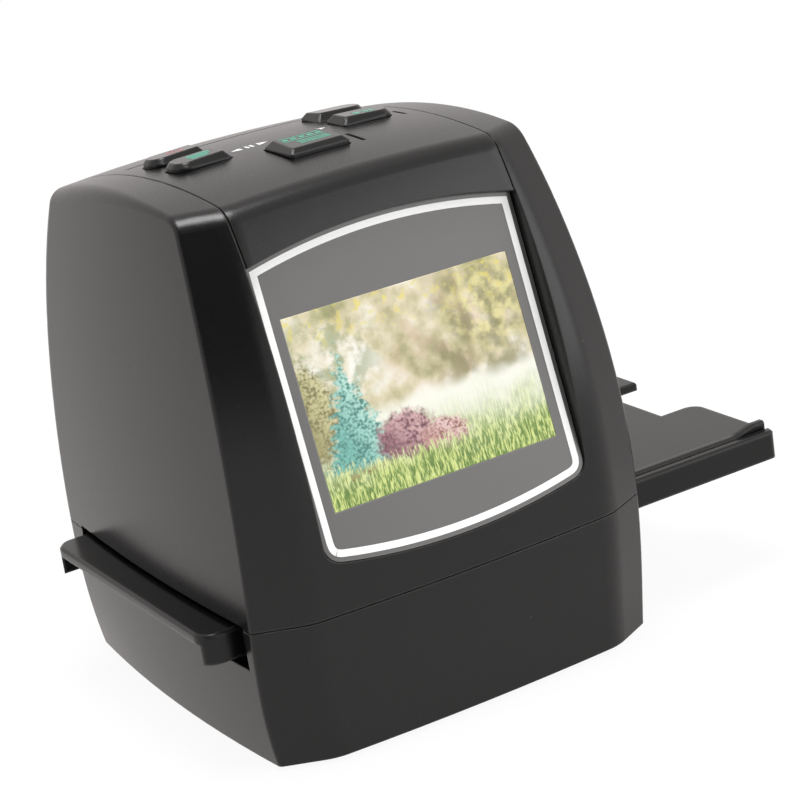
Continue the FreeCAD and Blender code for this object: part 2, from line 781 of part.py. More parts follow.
def window_outline(depth, inset, side_flare=0.0, foot_flare=0.0):
    """The window's outline at a depth, with bowed top and foot and round lower corners."""
    half = size("window_half_width") - inset + side_flare
    top = size("window_top") - inset
    top_middle = top + size("window_top_bow")
    foot = -size("window_foot") + inset - foot_flare
    foot_middle = foot - size("window_foot_bow")
    corner = size("window_corner_radius") - inset + side_flare

    def place(x, z):
        return FreeCAD.Vector(x, depth, z)

    drop = (foot - foot_middle) * (1 - ((half - corner) / half) ** 2)
    slope = 2 * (foot - foot_middle) * (half - corner) / half ** 2
    turn = foot_middle + (foot - foot_middle) - drop + slope * corner
    low = foot - drop
    edges = [Part.Arc(place(-half, top), place(0, top_middle), place(half, top)).toShape()]
    edges.append(Part.LineSegment(place(half, top), place(half, turn + corner)).toShape())
    right = Part.BezierCurve()
    right.setPoles([place(half, turn + corner), place(half, turn), place(half - corner, low)])
    edges.append(right.toShape())
    edges.append(Part.Arc(place(half - corner, low), place(0, foot_middle),
                          place(corner - half, low)).toShape())
    left = Part.BezierCurve()
    left.setPoles([place(corner - half, low), place(-half, turn), place(-half, turn + corner)])
    edges.append(left.toShape())
    edges.append(Part.LineSegment(place(-half, turn + corner), place(-half, top)).toShape())
    return Part.Wire(edges)


def window_prism(inset, outside, inside):
    """A block with the window's outline, from outside the glass plane to inside it."""
    face = Part.Face(window_outline(-outside, inset))
    return face.extrude(FreeCAD.Vector(0, outside + inside, 0))


def flared_prism(inset):
    """The flared mouth in front of the window, widest at the casing's surface."""
    reach = size("recess_reach")
    inner = window_outline(0, inset)
    outer = window_outline(-reach, inset, size("recess_side_flare"), size("recess_foot_flare"))
    return Part.makeLoft([inner, outer], True, True)


def placed(shape):
    """A window-frame shape moved to its place on the casing."""
    moved = shape.copy()
    moved.transformShape(window_place().toMatrix())
    return moved


def cover_zone(gap):
    """The strip over the top that the button cover fills, widened by a gap."""
    half = f"cover_width / 2 + {gap}"
    strip = box_shape((f"0 - ({half})", half), (f"{FRONT} - overrun", f"{BACK} - cover_end + {gap}"),
                      (f"{SEAM} + wall", f"{CROWN_TOP} + overrun"))
    far = size("body_depth")
    below = Part.Face(window_outline(-far, size(gap))).extrude(FreeCAD.Vector(0, 2 * far, 0))
    low_corner = FreeCAD.Vector(-far, -far, size("window_top - window_corner_radius") - far)
    lower = Part.makeBox(2 * far, 2 * far, far, low_corner)
    return strip.cut(placed(below)).cut(placed(lower))


OUTER = softened(envelope(0))
INNER = envelope(size("wall"))
WALLS = OUTER.cut(INNER.common(slab(f"{FLOOR} + wall", f"{CROWN_TOP} + overrun")))


def side_slots(headroom):
    """The space that the tray needs through both sides of the casing."""
    reach = "body_width / 2 + overrun"
    return box_shape((f"0 - ({reach})", reach),
                     (f"{FRONT} + slot_front", f"{FRONT} + slot_front + slot_depth"),
                     (f"{FLOOR} + slot_floor", headroom))


def base_shell():
    """Lower casing: floor, walls, screw posts, the tray slots and a lip for the upper casing."""
    lip_top = f"{SEAM} + lip_height"
    lip_outer = envelope(size("wall + fit_gap"))
    lip_inner = envelope(size("wall + fit_gap + lip_wall"))
    lip = lip_outer.cut(lip_inner).common(slab(f"{SEAM} - lip_height", lip_top))
    collar = INNER.cut(lip_inner).common(slab(f"{SEAM} - 2 * lip_height", f"{SEAM} - seam_gap"))
    shell = WALLS.common(slab("0", f"{SEAM} - seam_gap")).fuse([lip, collar])
    for x, y in BOSS_PLACES:
        shell = shell.cut(upright("boss_radius + fit_gap", x, y, f"{FLOOR} + boss_split", lip_top))
        post = upright("boss_radius", x, y, FLOOR, f"{FLOOR} + boss_split")
        shell = shell.fuse(post)
    for x, y in BOSS_PLACES:
        bore = upright("screw_radius + fit_gap", x, y, "0 - overrun", f"{SEAM}")
        seat = upright("screw_head_radius + fit_gap", x, y, "0 - overrun",
                       f"{FLOOR} + screw_head_height")
        shell = shell.cut(bore).cut(seat)
    for x, y in corners("foot_x", "0 - foot_y", "foot_y"):
        shell = shell.cut(upright("foot_radius", x, y, "0 - overrun", f"{FLOOR} + foot_seat"))
    shell = shell.cut(side_slots(f"{SEAM} + overrun"))
    return shell.removeSplitter()


def main_shell():
    """Upper casing: sides, front bar and back, with the window's mouth, ledge and posts."""
    above = slab(SEAM, f"{CROWN_TOP} + overrun")
    inward = size("window_thick + ledge_wall")
    mouth = window_prism(-size("surround_wall + fit_gap"), size("recess_reach"), inward)
    flange = window_prism(-size("flange_width"), -size("window_thick"), inward)
    over_lip = slab(f"{SEAM} + lip_height + fit_gap", f"{CROWN_TOP} + overrun")
    shell = WALLS.common(above).fuse(placed(mouth).common(OUTER)).fuse(
        placed(flange).common(OUTER).common(over_lip))
    split = f"{FLOOR} + boss_split"
    for index, (x, y) in enumerate(BOSS_PLACES):
        top = f"{SEAM} + boss_rise"
        shell = shell.fuse(upright("boss_radius", x, y, split, top))
        toward = ((FRONT, y) if index < 2 else (y, BACK))
        rib = box_shape((f"{x} - rib_wall / 2", f"{x} + rib_wall / 2"), toward,
                        (f"{SEAM} + 2 * lip_height", top))
        shell = shell.fuse(rib.common(OUTER))
    for x, z in BOARD_POSTS:
        start = spot(x, BOARD_BACK, z)
        post = Part.makeCylinder(size("post_radius"), size(f"{BACK} - {BOARD_BACK}"), start,
                                 FreeCAD.Vector(0, 1, 0))
        shell = shell.fuse(post.common(OUTER))
    shell = shell.cut(placed(flared_prism(-size("fit_gap"))))
    shell = shell.cut(placed(window_prism(-size("fit_gap"), size("fit_gap"), size("window_thick"))))
    shell = shell.cut(placed(window_prism(size("ledge_width"), 0, size("overrun"))))
    shell = shell.cut(cover_zone("cover_gap"))
    for x, y in BOSS_PLACES:
        shell = shell.cut(upright("screw_radius - pilot_bite", x, y, split,
                                  f"{SEAM} + boss_rise - wall"))
    for x, z in BOARD_POSTS:
        start = spot(x, BOARD_BACK, z)
        pilot = Part.makeCylinder(size("small_screw_radius"), size("small_screw_length"), start,
                                  FreeCAD.Vector(0, 1, 0))
        shell = shell.cut(pilot)
    for x, z in MODULE_EARS:
        pilot = Part.makeCylinder(size("small_screw_radius"), size("ledge_wall"),
                                  spot(x, "window_thick", z), FreeCAD.Vector(0, 1, 0))
        shell = shell.cut(placed(pilot))
    shell = shell.cut(rear_opening("0"))
    shell = shell.cut(side_slots(f"{TRAY_TOP} + slot_headroom"))
    return shell.removeSplitter()


def rear_opening(gap):
    """The opening in the back, made smaller by a gap for the panel that fills it."""
    half = f"panel_width / 2 - {gap}"
    return box_shape((f"0 - ({half})", half), ("body_depth / 4", f"{BACK} + overrun"),
                     (f"{FLOOR} + panel_low + {gap}", f"{FLOOR} + panel_high - {gap}"))


def top_cover():
    """Button cover over the middle of the top, with button holes, grooves and board posts."""
    cover = WALLS.common(cover_zone("0"))
    half = "cover_width / 2 + ledge_width"
    under = box_shape((f"0 - ({half})", half),
                      (f"{FRONT} + button_board_front", f"{BACK} - cover_end + ledge_width"),
                      (f"{BOARD_TOP} - overrun", f"{CROWN_TOP} + overrun"))
    half = "cover_width / 2 - ledge_wall"
    middle = box_shape((f"0 - ({half})", half), (FRONT, f"{BACK} - cover_end - ledge_wall"),
                       (f"{BOARD_TOP} - overrun", f"{CROWN_TOP} + overrun"))
    rim = INNER.cut(envelope(size("wall + lip_wall"))).common(under.cut(middle))
    cover = cover.fuse(rim)
    for x, y in BUTTON_POSTS:
        post = upright("post_radius", x, y, BOARD_TOP, CROWN_TOP)
        cover = cover.fuse(post.common(OUTER))
    for name, row in BUTTONS.items():
        cover = cover.cut(button_hole(row))
    for x, y in GROOVES:
        low = f"{CROWN_TOP} - overrun"
        band = box_shape(x, y, (low, f"{CROWN_TOP} + overrun"))
        skin = OUTER.cut(envelope(size("groove_depth"))).common(band)
        cover = cover.cut(skin)
    for x, y in BUTTON_POSTS:
        cover = cover.cut(upright("small_screw_radius", x, y, f"{BOARD_TOP} - wall",
                                  f"{BOARD_TOP} + small_screw_length"))
    return cover


def rear_panel():
    """Panel in the back with the mouths of the sockets."""
    panel = WALLS.common(rear_opening("fit_gap"))
    half = "panel_width / 2 - fit_gap"
    behind = box_shape((f"0 - ({half})", half), ("body_depth / 4", f"{BACK} + overrun"),
                       (f"{FLOOR} + panel_low - ledge_width", f"{FLOOR} + panel_high + ledge_width"))
    middle = box_shape(("0 - panel_width", "panel_width"), ("0", f"{BACK} + overrun"),
                       (f"{FLOOR} + panel_low + ledge_wall", f"{FLOOR} + panel_high - ledge_wall"))
    rim = INNER.cut(envelope(size("wall + lip_wall"))).common(behind.cut(middle))
    panel = panel.fuse(rim)
    usb = box_shape((f"{USB_X} - usb_width / 2 - port_gap", f"{USB_X} + usb_width / 2 + port_gap"),
                    ("0", f"{BACK} + overrun"),
                    (f"{PORT_Z} - usb_tall / 2 - port_gap", f"{PORT_Z} + usb_tall / 2 + port_gap"))
    card = box_shape(("0 - card_width / 2 - port_gap", "card_width / 2 + port_gap"),
                     ("0", f"{BACK} + overrun"),
                     (f"{CARD_Z} - card_tall / 2 - port_gap", f"{CARD_Z} + card_tall / 2 + port_gap"))
    jack = Part.makeCylinder(size("jack_nose_radius + port_gap"), size("body_depth"),
                             spot(JACK_X, "0", PORT_Z), FreeCAD.Vector(0, 1, 0))
    return panel.cut(usb).cut(card).cut(jack).removeSplitter()


def display_window():
    """Grey window pane in its own upright frame, with the opening for the picture."""
    pane = window_prism(0, 0, size("window_thick"))
    half_width = "picture_width / 2"
    half_height = "picture_height / 2"
    opening = box_shape((f"0 - {half_width}", half_width), ("0 - overrun", "overrun"),
                        (f"0 - {half_height}", half_height))
    return pane.cut(opening)


def button_outline(row, gap, level):
    """Closed outline of a cap: square corners at one end, round at the other."""
    x, y, long, deep, _, side = row
    middle = spot(x, f"{FRONT} + {y}", "0")
    half_x = size(f"{long} / 2") + gap
    half_y = size(f"{deep} / 2") + gap
    turn = size("button_round") + gap if side else 0
    small = max(size("button_small_round") + gap, size("cap_edge_round"))

    def place(along, across):
        return FreeCAD.Vector(middle.x + along, middle.y + across, level)

    end = side if side else 1
    points = [place(-end * half_x, -half_y), place(end * half_x, -half_y),
              place(end * half_x, half_y), place(-end * half_x, half_y)]
    face = Part.Face(Part.makePolygon(points + points[:1]))
    block_shape = face.extrude(FreeCAD.Vector(0, 0, size("overrun")))
    wide = [edge for edge in block_shape.Edges if is_upright(edge)
            and (edge.Vertexes[0].X - middle.x) * end > 0]
    tight = [edge for edge in block_shape.Edges if is_upright(edge)
             and (edge.Vertexes[0].X - middle.x) * end < 0]
    if side:
        block_shape = block_shape.makeFillet(turn, wide)
        tight = [edge for edge in block_shape.Edges if is_upright(edge)
                 and (edge.Vertexes[0].X - middle.x) * end < -half_x / 2]
        return block_shape.makeFillet(small, tight)
    return block_shape.makeFillet(small, wide + tight)


def is_upright(edge):
    """Whether an edge is a straight upright line."""
    return edge.Curve.TypeId == "Part::GeomLine" and abs(edge.tangentAt(edge.FirstParameter).z) > ALONG_SHARE


def button_hole(row):
    """The hole that a button moves in."""
    low = size(f"{CROWN_TOP} - overrun")
    tall = button_outline(row, size("button_gap"), low)
    return tall.fuse(button_outline(row, size("button_gap"), size(CROWN_TOP) - size("cap_height")))


def middle_height(face):
    """Height of a face's middle."""
    return face.CenterOfMass.z


def under_cap(row):
    """Everything below the flat top of a cap, which follows the slope of the crown there."""
    x, y = row[:2]
    slope = FreeCAD.Vector(size(f"{x} / crown_radius"), size(f"({y} - arch_apex) / arch_radius"), 1)
    far = size("body_width")
    block_shape = Part.makeBox(2 * far, 2 * far, far, FreeCAD.Vector(-far, -far, -far))
    block_shape.Placement = FreeCAD.Placement(spot(x, f"{FRONT} + {y}", f"{crown_at(x, y)} + cap_height"),
                                              FreeCAD.Rotation(FreeCAD.Vector(0, 0, 1), slope))
    return block_shape


def button(row):
    """One button: a soft-edged cap on the crown, a flange under the cover and a stem."""
    x, y, long, deep, slope, side = row
    way = "+" if size(y) > size("arch_apex") else "-"
    far_x = f"abs({x}) + {long} / 2 + button_flange"
    far_y = f"{y} {way} ({deep} / 2 + button_flange)"
    flange_top = f"({crown_at(far_x, far_y)} - wall - running_gap)"
    low = size(flange_top)
    bend = size(f"{crown_at(x, y)} + cap_side")
    rings = [min(button_outline(row, inset, level).Faces, key=middle_height).OuterWire
             for inset, level in ((0, bend), (0 - size(slope), bend + size("cap_height")))]
    low_part = Part.Face(rings[0]).extrude(FreeCAD.Vector(0, 0, low - bend))
    cap = low_part.fuse(Part.makeLoft(rings, True, True)).removeSplitter()
    cap = cap.common(under_cap(row)).Solids[0]
    cap = cap.makeFillet(size("cap_edge_round"), max(cap.Faces, key=middle_height).Edges)
    flange = button_outline(row, size("button_flange"), low - size("flange_thick"))
    flange = flange.common(box_shape(("0 - body_width", "body_width"),
                                     ("0 - body_depth", "body_depth"),
                                     (f"{flange_top} - flange_thick", flange_top)))
    stem_foot = f"{BOARD_TOP} + switch_body + switch_plunger + button_travel + fit_gap"
    stem = upright("stem_radius", x, f"{FRONT} + {y}", stem_foot, flange_top)
    return cap.fuse([flange, stem]).removeSplitter()


finish("base_shell", solid_feature("base_shell", base_shell()))
finish("main_shell", solid_feature("main_shell", main_shell()))
finish("top_cover", solid_feature("top_cover", top_cover()))
finish("rear_panel", solid_feature("rear_panel", rear_panel()))
for name, row in BUTTONS.items():
    finish(name, solid_feature(name, button(row)))


def stand_on_window(thing):
    """Turn an upright piece onto the window's own frame."""
    thing.Placement.Rotation = FreeCAD.Rotation(FreeCAD.Vector(-1, 0, 0), size("window_tilt"))
    bind(thing, ".Placement.Rotation.Angle", "window_tilt")
    bind(thing, ".Placement.Base.y", f"{FRONT} + window_middle_setback")
    bind(thing, ".Placement.Base.z", f"{FLOOR} + window_middle_height")


stand_on_window(finish("display_window", solid_feature("display_window", display_window())))


# Film tray: a plate over a front rail and a rear leg, open underneath at its left end

def vertical_at(*places):
    """A test for upright edges standing at given x, y formulas."""
    def test(middle, along):
        here = any(near(middle.x, x) and near(middle.y, y) for x, y in places)
        return here and abs(along.z) > ALONG_SHARE
    return test


def film_tray():
    """Long tray: a plate over a front rail and a rear leg, with a floor under the holder."""
    body = new_body("film_tray")
    rail_back = f"{TRAY_FRONT} + front_rail"
    flange_front = f"{TRAY_BACK} - rear_flange"
    plate_right = "0 - tray_left + left_plate"
    outline = [("0 - tray_left", TRAY_FRONT), ("tray_right", TRAY_FRONT),
               ("tray_right", rail_back), (plate_right, rail_back),
               (plate_right, flange_front), ("tray_right", flange_front),
               ("tray_right", TRAY_BACK), ("0 - tray_left", TRAY_BACK)]
    pad(body, "top_plate", outline, f"{TRAY_TOP} - tray_plate", "tray_plate")
    deep = "tray_height"
    pad(body, "front_wall", rectangle(("0 - tray_left", "tray_right"), (TRAY_FRONT, rail_back)),
        TRAY_FOOT, deep)
    pad(body, "rear_wall", rectangle(("0 - tray_left", "tray_right"),
                                     (f"{TRAY_BACK} - rear_leg", TRAY_BACK)), TRAY_FOOT, deep)
    floor_left = "0 - lid_left - running_gap"
    pad(body, "floor", rectangle((floor_left, "tray_floor_right"),
                                 (TRAY_FRONT, TRAY_BACK)), TRAY_FOOT, "tray_floor")
    half_x = "(gate_length / 2 + film_margin)"
    half_y = "(gate_width / 2 + film_margin)"
    pocket(body, "light_opening", rectangle((f"0 - {half_x}", half_x),
                                            (f"{FILM_Y} - {half_y}", f"{FILM_Y} + {half_y}")),
           f"{TRAY_FOOT} + tray_floor", "tray_floor")
    for index in range(int(size("notch_count"))):
        x = f"({index} - (notch_count - 1) / 2) * notch_pitch"
        pocket(body, f"notch_{index}", rectangle((f"{x} - notch_width / 2", f"{x} + notch_width / 2"),
                                                 (f"{TRAY_FRONT} - overrun",
                                                  f"{TRAY_FRONT} + notch_depth")),
               f"{TRAY_TOP} - tray_plate", "tray_height - tray_plate")
    last = body.Tip
    ends = vertical_at(("0 - tray_left", TRAY_FRONT), ("0 - tray_left", TRAY_BACK))
    last = rounded(body, "left_corners", last, ends, "tray_corner")
    right = vertical_at(("tray_right", TRAY_FRONT), ("tray_right", TRAY_BACK))
    last = rounded(body, "right_corners", last, right, "rail_end_round")

    def top_rim(middle, along):
        return (near(middle.z, TRAY_TOP) and middle.y < size(TRAY_FRONT) + size("front_rail") / 4
                or near(middle.z, TRAY_TOP) and middle.x < size("tray_corner - tray_left")
                or near(middle.z, TRAY_TOP) and middle.y > size(TRAY_BACK) - size("rear_leg") / 4)

    rounded(body, "top_bevel", last, top_rim, "tray_bevel", "PartDesign::Chamfer")
    return finish("film_tray", body)


def film_carrier():
    """Lower half of the film holder, with the tongue that shows at the right."""
    body = new_body("film_carrier")
    pad(body, "plate", rectangle((LID_LEFT, "carrier_edge"), (CARRIER_FRONT, CARRIER_BACK)),
        CARRIER_FOOT, "carrier_base")
    shown_left = "(lid_right + running_gap)"
    tongue_back = f"{CARRIER_FRONT} + tongue_depth"
    shown = [(shown_left, CARRIER_FRONT), ("tongue_end", CARRIER_FRONT),
             ("tongue_end", tongue_back), ("carrier_edge", tongue_back),
             ("carrier_edge", CARRIER_BACK), (shown_left, CARRIER_BACK)]
    pad(body, "tongue", shown, f"{TRAY_TOP} - tongue_thick", "tongue_thick")
    pad(body, "step", rectangle((shown_left, "carrier_edge"), (CARRIER_FRONT, CARRIER_BACK)),
        CARRIER_FOOT, f"{TRAY_TOP} - {CARRIER_FOOT}")
    for name, low, high in (("left_knuckle", LID_LEFT, f"{KNUCKLE_LEFT} - fit_gap"),
                            ("right_knuckle", f"{KNUCKLE_RIGHT} + fit_gap", "lid_right")):
        pad(body, name, rectangle((low, high), (f"{PIN_Y} - hinge_knuckle + fit_gap", CARRIER_BACK)),
            CARRIER_FOOT, f"{PIN_Z} + hinge_knuckle - fit_gap - {CARRIER_FOOT}")
    half_y = "(film_width / 2)"
    pocket(body, "film_channel", rectangle((f"{LID_LEFT} - overrun", shown_left),
                                           (f"{FILM_Y} - {half_y}", f"{FILM_Y} + {half_y}")),
           CARRIER_TOP, "film_depth")
    pocket(body, "film_mouth", rectangle(("lid_right", "tongue_end + overrun"),
                                         (f"{FILM_Y} - {half_y}", f"{FILM_Y} + {half_y}")),
           f"{CARRIER_TOP} + film_mouth", "film_mouth + film_depth")
    pocket(body, "gate", rectangle(("0 - gate_length / 2", "gate_length / 2"),
                                   (f"{FILM_Y} - gate_width / 2", f"{FILM_Y} + gate_width / 2")),
           CARRIER_TOP, "carrier_base")
    corners_test = vertical_at(("tongue_end", tongue_back))
    last = rounded(body, "tongue_corner", body.Tip, corners_test, "tongue_round")
    ridge = sketch_on(body, "ridge_sketch", "XZ_Plane", f"0 - ({CARRIER_FRONT} + ridge_width)")
    ramp_end = "tongue_end - ridge_crest"
    polygon(ridge, [(shown_left, f"{TRAY_TOP} - tongue_thick / 2"),
                    ("tongue_end", f"{TRAY_TOP} - tongue_thick / 2"),
                    ("tongue_end", f"{TRAY_TOP} + ridge_high"),
                    (ramp_end, f"{TRAY_TOP} + ridge_high"),
                    (f"{ramp_end} - ridge_ramp", f"{TRAY_TOP} + ridge_low"),
                    (shown_left, f"{TRAY_TOP} + ridge_low")])
    feature = body.newObject("PartDesign::Pad", "ridge")
    feature.Profile = ridge
    bind(feature, "Length", "ridge_width")
    doc.recompute()

    def ridge_top(middle, along):
        return middle.z > size(f"{TRAY_TOP} + ridge_low / 2") and abs(along.y) < ALONG_SHARE

    rounded(body, "ridge_bevel", feature, ridge_top, "ridge_soft", "PartDesign::Chamfer")
    bore = body.newObject("Sketcher::SketchObject", "pin_bore_sketch")
    bore.AttachmentSupport = [(origin_plane(body, "YZ_Plane"), "")]
    bore.MapMode = "FlatFace"
    bind(bore, ".AttachmentOffset.Base.z", "lid_right + overrun")
    ring(bore, PIN_Y, PIN_Z, "pin_radius")
    hole = body.newObject("PartDesign::Pocket", "pin_bore")
    hole.Profile = bore
    bind(hole, "Length", f"lid_right + overrun - {LID_LEFT} - pin_stop")
    doc.recompute()
    return finish("film_carrier", body)


def carrier_lid():
    """Upper half of the film holder, with its picture opening and hinge knuckle."""
    body = new_body("carrier_lid")
    back = f"({PIN_Y} - hinge_knuckle)"
    foot = f"({CARRIER_TOP} + fit_gap)"
    outline = [(LID_LEFT, CARRIER_FRONT), ("lid_right", CARRIER_FRONT), ("lid_right", back),
               (KNUCKLE_RIGHT, back), (KNUCKLE_RIGHT, CARRIER_BACK),
               (KNUCKLE_LEFT, CARRIER_BACK), (KNUCKLE_LEFT, back), (LID_LEFT, back)]
    pad(body, "plate", outline, foot, f"{TRAY_TOP} - {foot}")
    pocket(body, "gate", rectangle(("0 - gate_length / 2", "gate_length / 2"),
                                   (f"{FILM_Y} - gate_width / 2", f"{FILM_Y} + gate_width / 2")),
           TRAY_TOP, "tray_height")
    pocket(body, "thumb_notch", rectangle(("0 - thumb_notch / 2", "thumb_notch / 2"),
                                          (f"{CARRIER_FRONT} - overrun",
                                           f"{CARRIER_FRONT} + frame_bar")),
           TRAY_TOP, "frame_bar / 2")
    bore = body.newObject("Sketcher::SketchObject", "pin_bore_sketch")
    bore.AttachmentSupport = [(origin_plane(body, "YZ_Plane"), "")]
    bore.MapMode = "FlatFace"
    bind(bore, ".AttachmentOffset.Base.z", "lid_right + overrun")
    ring(bore, PIN_Y, PIN_Z, "pin_radius + pin_gap")
    hole = body.newObject("PartDesign::Pocket", "pin_bore")
    hole.Profile = bore
    bind(hole, "Length", "2 * (lid_right + overrun)")
    doc.recompute()

    def gate_rim(middle, along):
        inside = abs(middle.x) <= size("gate_length / 2 + fit_gap")
        inside = inside and abs(middle.y - size(FILM_Y)) <= size("gate_width / 2 + fit_gap")
        return near(middle.z, TRAY_TOP) and inside

    rounded(body, "gate_bevel", hole, gate_rim, "frame_bar / 2", "PartDesign::Chamfer")
    return finish("carrier_lid", body)


def hinge_pin():
    """Pin through the lid's knuckle, held in the two knuckles of the lower half."""
    pin = lying_rod("hinge_pin_rod", "pin_radius", "x", f"{LID_LEFT} + pin_stop + fit_gap",
                    "lid_right", PIN_Y, PIN_Z)
    return finish("hinge_pin", group("hinge_pin", pin))


def tray_guide():
    """Channel that carries the tray through the casing, on four legs."""
    body = new_body("tray_guide")
    long = ("0 - guide_half_length", "guide_half_length")
    half_x = "(gate_length / 2 + film_margin)"
    half_y = "(gate_width / 2 + film_margin)"
    pad(body, "floor", rectangle(long, (GUIDE_FRONT, GUIDE_BACK)), GUIDE_FLOOR_FOOT, "guide_floor")
    pocket(body, "light_opening", rectangle((f"0 - {half_x}", half_x),
                                            (f"{FILM_Y} - {half_y}", f"{FILM_Y} + {half_y}")),
           GUIDE_FLOOR_TOP, "guide_floor")
    tall = f"{PLATE_FOOT} - {GUIDE_FLOOR_FOOT}"
    pad(body, "front_wall", rectangle(long, (GUIDE_FRONT, f"{TRAY_FRONT} - running_gap")),
        GUIDE_FLOOR_FOOT, tall)
    pad(body, "rear_wall", rectangle(long, (f"{TRAY_BACK} + running_gap", GUIDE_BACK)),
        GUIDE_FLOOR_FOOT, tall)
    for index, (x, y) in enumerate(corners("guide_leg_x", f"{FRONT} + guide_leg_front",
                                           f"{FRONT} + guide_leg_back")):
        half = "guide_leg_radius"
        pad(body, f"leg_{index}", rectangle((f"{x} - {half}", f"{x} + {half}"),
                                            (f"{y} - {half}", f"{y} + {half}")),
            f"{FLOOR} + wall", f"{GUIDE_FLOOR_FOOT} - {FLOOR} - wall")
    for index, x in enumerate(("0 - spring_x", "spring_x")):
        wide = "(spring_length / 2 + running_gap)"
        pocket(body, f"spring_seat_{index}",
               rectangle((f"{x} - {wide}", f"{x} + {wide}"),
                         (f"{TRAY_FRONT} - running_gap - spring_seat",
                          f"{TRAY_FRONT} + running_gap")),
               f"{TRAY_TOP}", "tray_height - tray_plate / 2")
    for index, (x, y) in enumerate(PLATE_SCREWS):
        pocket(body, f"pilot_{index}", (), PLATE_FOOT, "small_screw_length",
               ((x, y, "small_screw_radius"),))
    return finish("tray_guide", body)


def detent_springs():
    """Two spring strips in the guide's front wall that press on the tray's rail."""
    pieces = []
    seat_front = f"{TRAY_FRONT} - running_gap - spring_seat"
    middle_z = f"{TRAY_TOP} - tray_height / 2"
    for index, x in enumerate(("0 - spring_x", "spring_x")):
        half = "spring_length / 2"
        low = f"{middle_z} - spring_tall / 2"
        high = f"{middle_z} + spring_tall / 2"
        strip = block(f"spring_strip_{index}", (f"{x} - {half}", f"{x} + {half}"),
                      (seat_front, f"{seat_front} + spring_strip"), (low, high))
        bump = rod(f"spring_bump_{index}", "spring_bump", x, f"{seat_front} + spring_bump",
                   (low, high))
        pieces.append(fused(f"detent_spring_{index}", strip, bump))
    return finish("detent_springs", group("detent_springs", *pieces))


# Lamp house under the film

def lamp_house():
    """White box that mixes the lamps' light, with a rim for the diffuser."""
    body = new_body("lamp_house")
    half_x = "lamp_box_length / 2"
    half_y = "lamp_box_width / 2"
    outside = rectangle((f"0 - {half_x}", half_x), (f"{FILM_Y} - {half_y}", f"{FILM_Y} + {half_y}"))
    wall = "lamp_box_wall"
    inside = rectangle((f"{wall} - {half_x}", f"{half_x} - {wall}"),
                       (f"{FILM_Y} - {half_y} + {wall}", f"{FILM_Y} + {half_y} - {wall}"))
    rim = rectangle((f"{wall} / 2 - {half_x}", f"{half_x} - {wall} / 2"),
                    (f"{FILM_Y} - {half_y} + {wall} / 2", f"{FILM_Y} + {half_y} - {wall} / 2"))
    pad(body, "box", outside, LAMP_BOARD_TOP, f"{LAMP_TOP} - {LAMP_BOARD_TOP}")
    pocket(body, "hollow", inside, LAMP_TOP, f"{LAMP_TOP} - {LAMP_BOARD_TOP}")
    pocket(body, "rim", rim, LAMP_TOP, "diffuser_thick")
    return finish("lamp_house", body)


def light_diffuser():
    """Milky sheet in the lamp house's rim."""
    half_x = "(lamp_box_length / 2 - lamp_box_wall / 2 - pin_gap)"
    half_y = "(lamp_box_width / 2 - lamp_box_wall / 2 - pin_gap)"
    body = new_body("light_diffuser")
    pad(body, "sheet", rectangle((f"0 - {half_x}", half_x),
                                 (f"{FILM_Y} - {half_y}", f"{FILM_Y} + {half_y}")),
        f"{LAMP_TOP} - diffuser_thick", "diffuser_thick")
    return finish("light_diffuser", body)


def lamp_board():
    """Board under the lamp house, a little longer at the back for its lead."""
    body = new_body("lamp_board")
    half_x = "(lamp_box_length / 2)"
    half_y = "(lamp_box_width / 2)"
    pad(body, "sheet", rectangle((f"0 - {half_x}", half_x),
                                 (f"{FILM_Y} - {half_y}", f"{FILM_Y} + {half_y} + ribbon_end")),
        LAMP_FLOOR, "board_thick")
    return finish("lamp_board", body)


def lamps():
    """White lamps in rows on the lamp board."""
    pieces = []
    columns = int(size("lamp_columns"))
    rows = int(size("lamp_rows"))
    for column in range(columns):
        for line in range(rows):
            x = f"(lamp_box_length / 2 * ({2 * column + 1} / {columns} - 1))"
            y = f"({FILM_Y} + lamp_box_width / 2 * ({2 * line + 1} / {rows} - 1))"
            half = "lamp_side / 2"
            body = block(f"lamp_{column}_{line}", (f"{x} - {half}", f"{x} + {half}"),
                         (f"{y} - {half}", f"{y} + {half}"),
                         (LAMP_BOARD_TOP, f"{LAMP_BOARD_TOP} + lamp_tall"))
            pieces.append(body)
    return finish("lamps", group("lamps", *pieces))


# Camera above the film

def camera_plate():
    """Plate screwed onto the tray guide that carries the camera."""
    body = new_body("camera_plate")
    long = ("0 - guide_half_length", "guide_half_length")
    screws = [(x, y, "small_screw_radius + fit_gap") for x, y in PLATE_SCREWS]
    pad(body, "plate", rectangle(long, (GUIDE_FRONT, GUIDE_BACK)), PLATE_FOOT, "plate_thick",
        screws)
    half_x = "(gate_length / 2 + frame_bar)"
    half_y = "(gate_width / 2 + frame_bar)"
    pocket(body, "light_opening", rectangle((f"0 - {half_x}", half_x),
                                            (f"{FILM_Y} - {half_y}", f"{FILM_Y} + {half_y}")),
           PLATE_TOP, "plate_thick")
    return finish("camera_plate", body)


def tower_loft(body, name, kind, inset, foot, top):
    """Loft between the tower's foot and top outlines."""
    low = sketch_on(body, name + "_foot", "XY_Plane", foot)
    polygon(low, rectangle((f"{inset} - tower_length / 2", f"tower_length / 2 - {inset}"),
                           (f"{FILM_Y} - tower_width / 2 + {inset}",
                            f"{FILM_Y} + tower_width / 2 - {inset}")))
    high = sketch_on(body, name + "_top", "XY_Plane", top)
    polygon(high, rectangle((f"{inset} - tower_top_length / 2",
                             f"tower_top_length / 2 - {inset}"),
                            (f"{FILM_Y} - tower_top_width / 2 + {inset}",
                             f"{FILM_Y} + tower_top_width / 2 - {inset}")))
    loft = body.newObject(kind, name)
    loft.Profile = low
    loft.Sections = [high]
    loft.Ruled = True
    doc.recompute()
    return loft


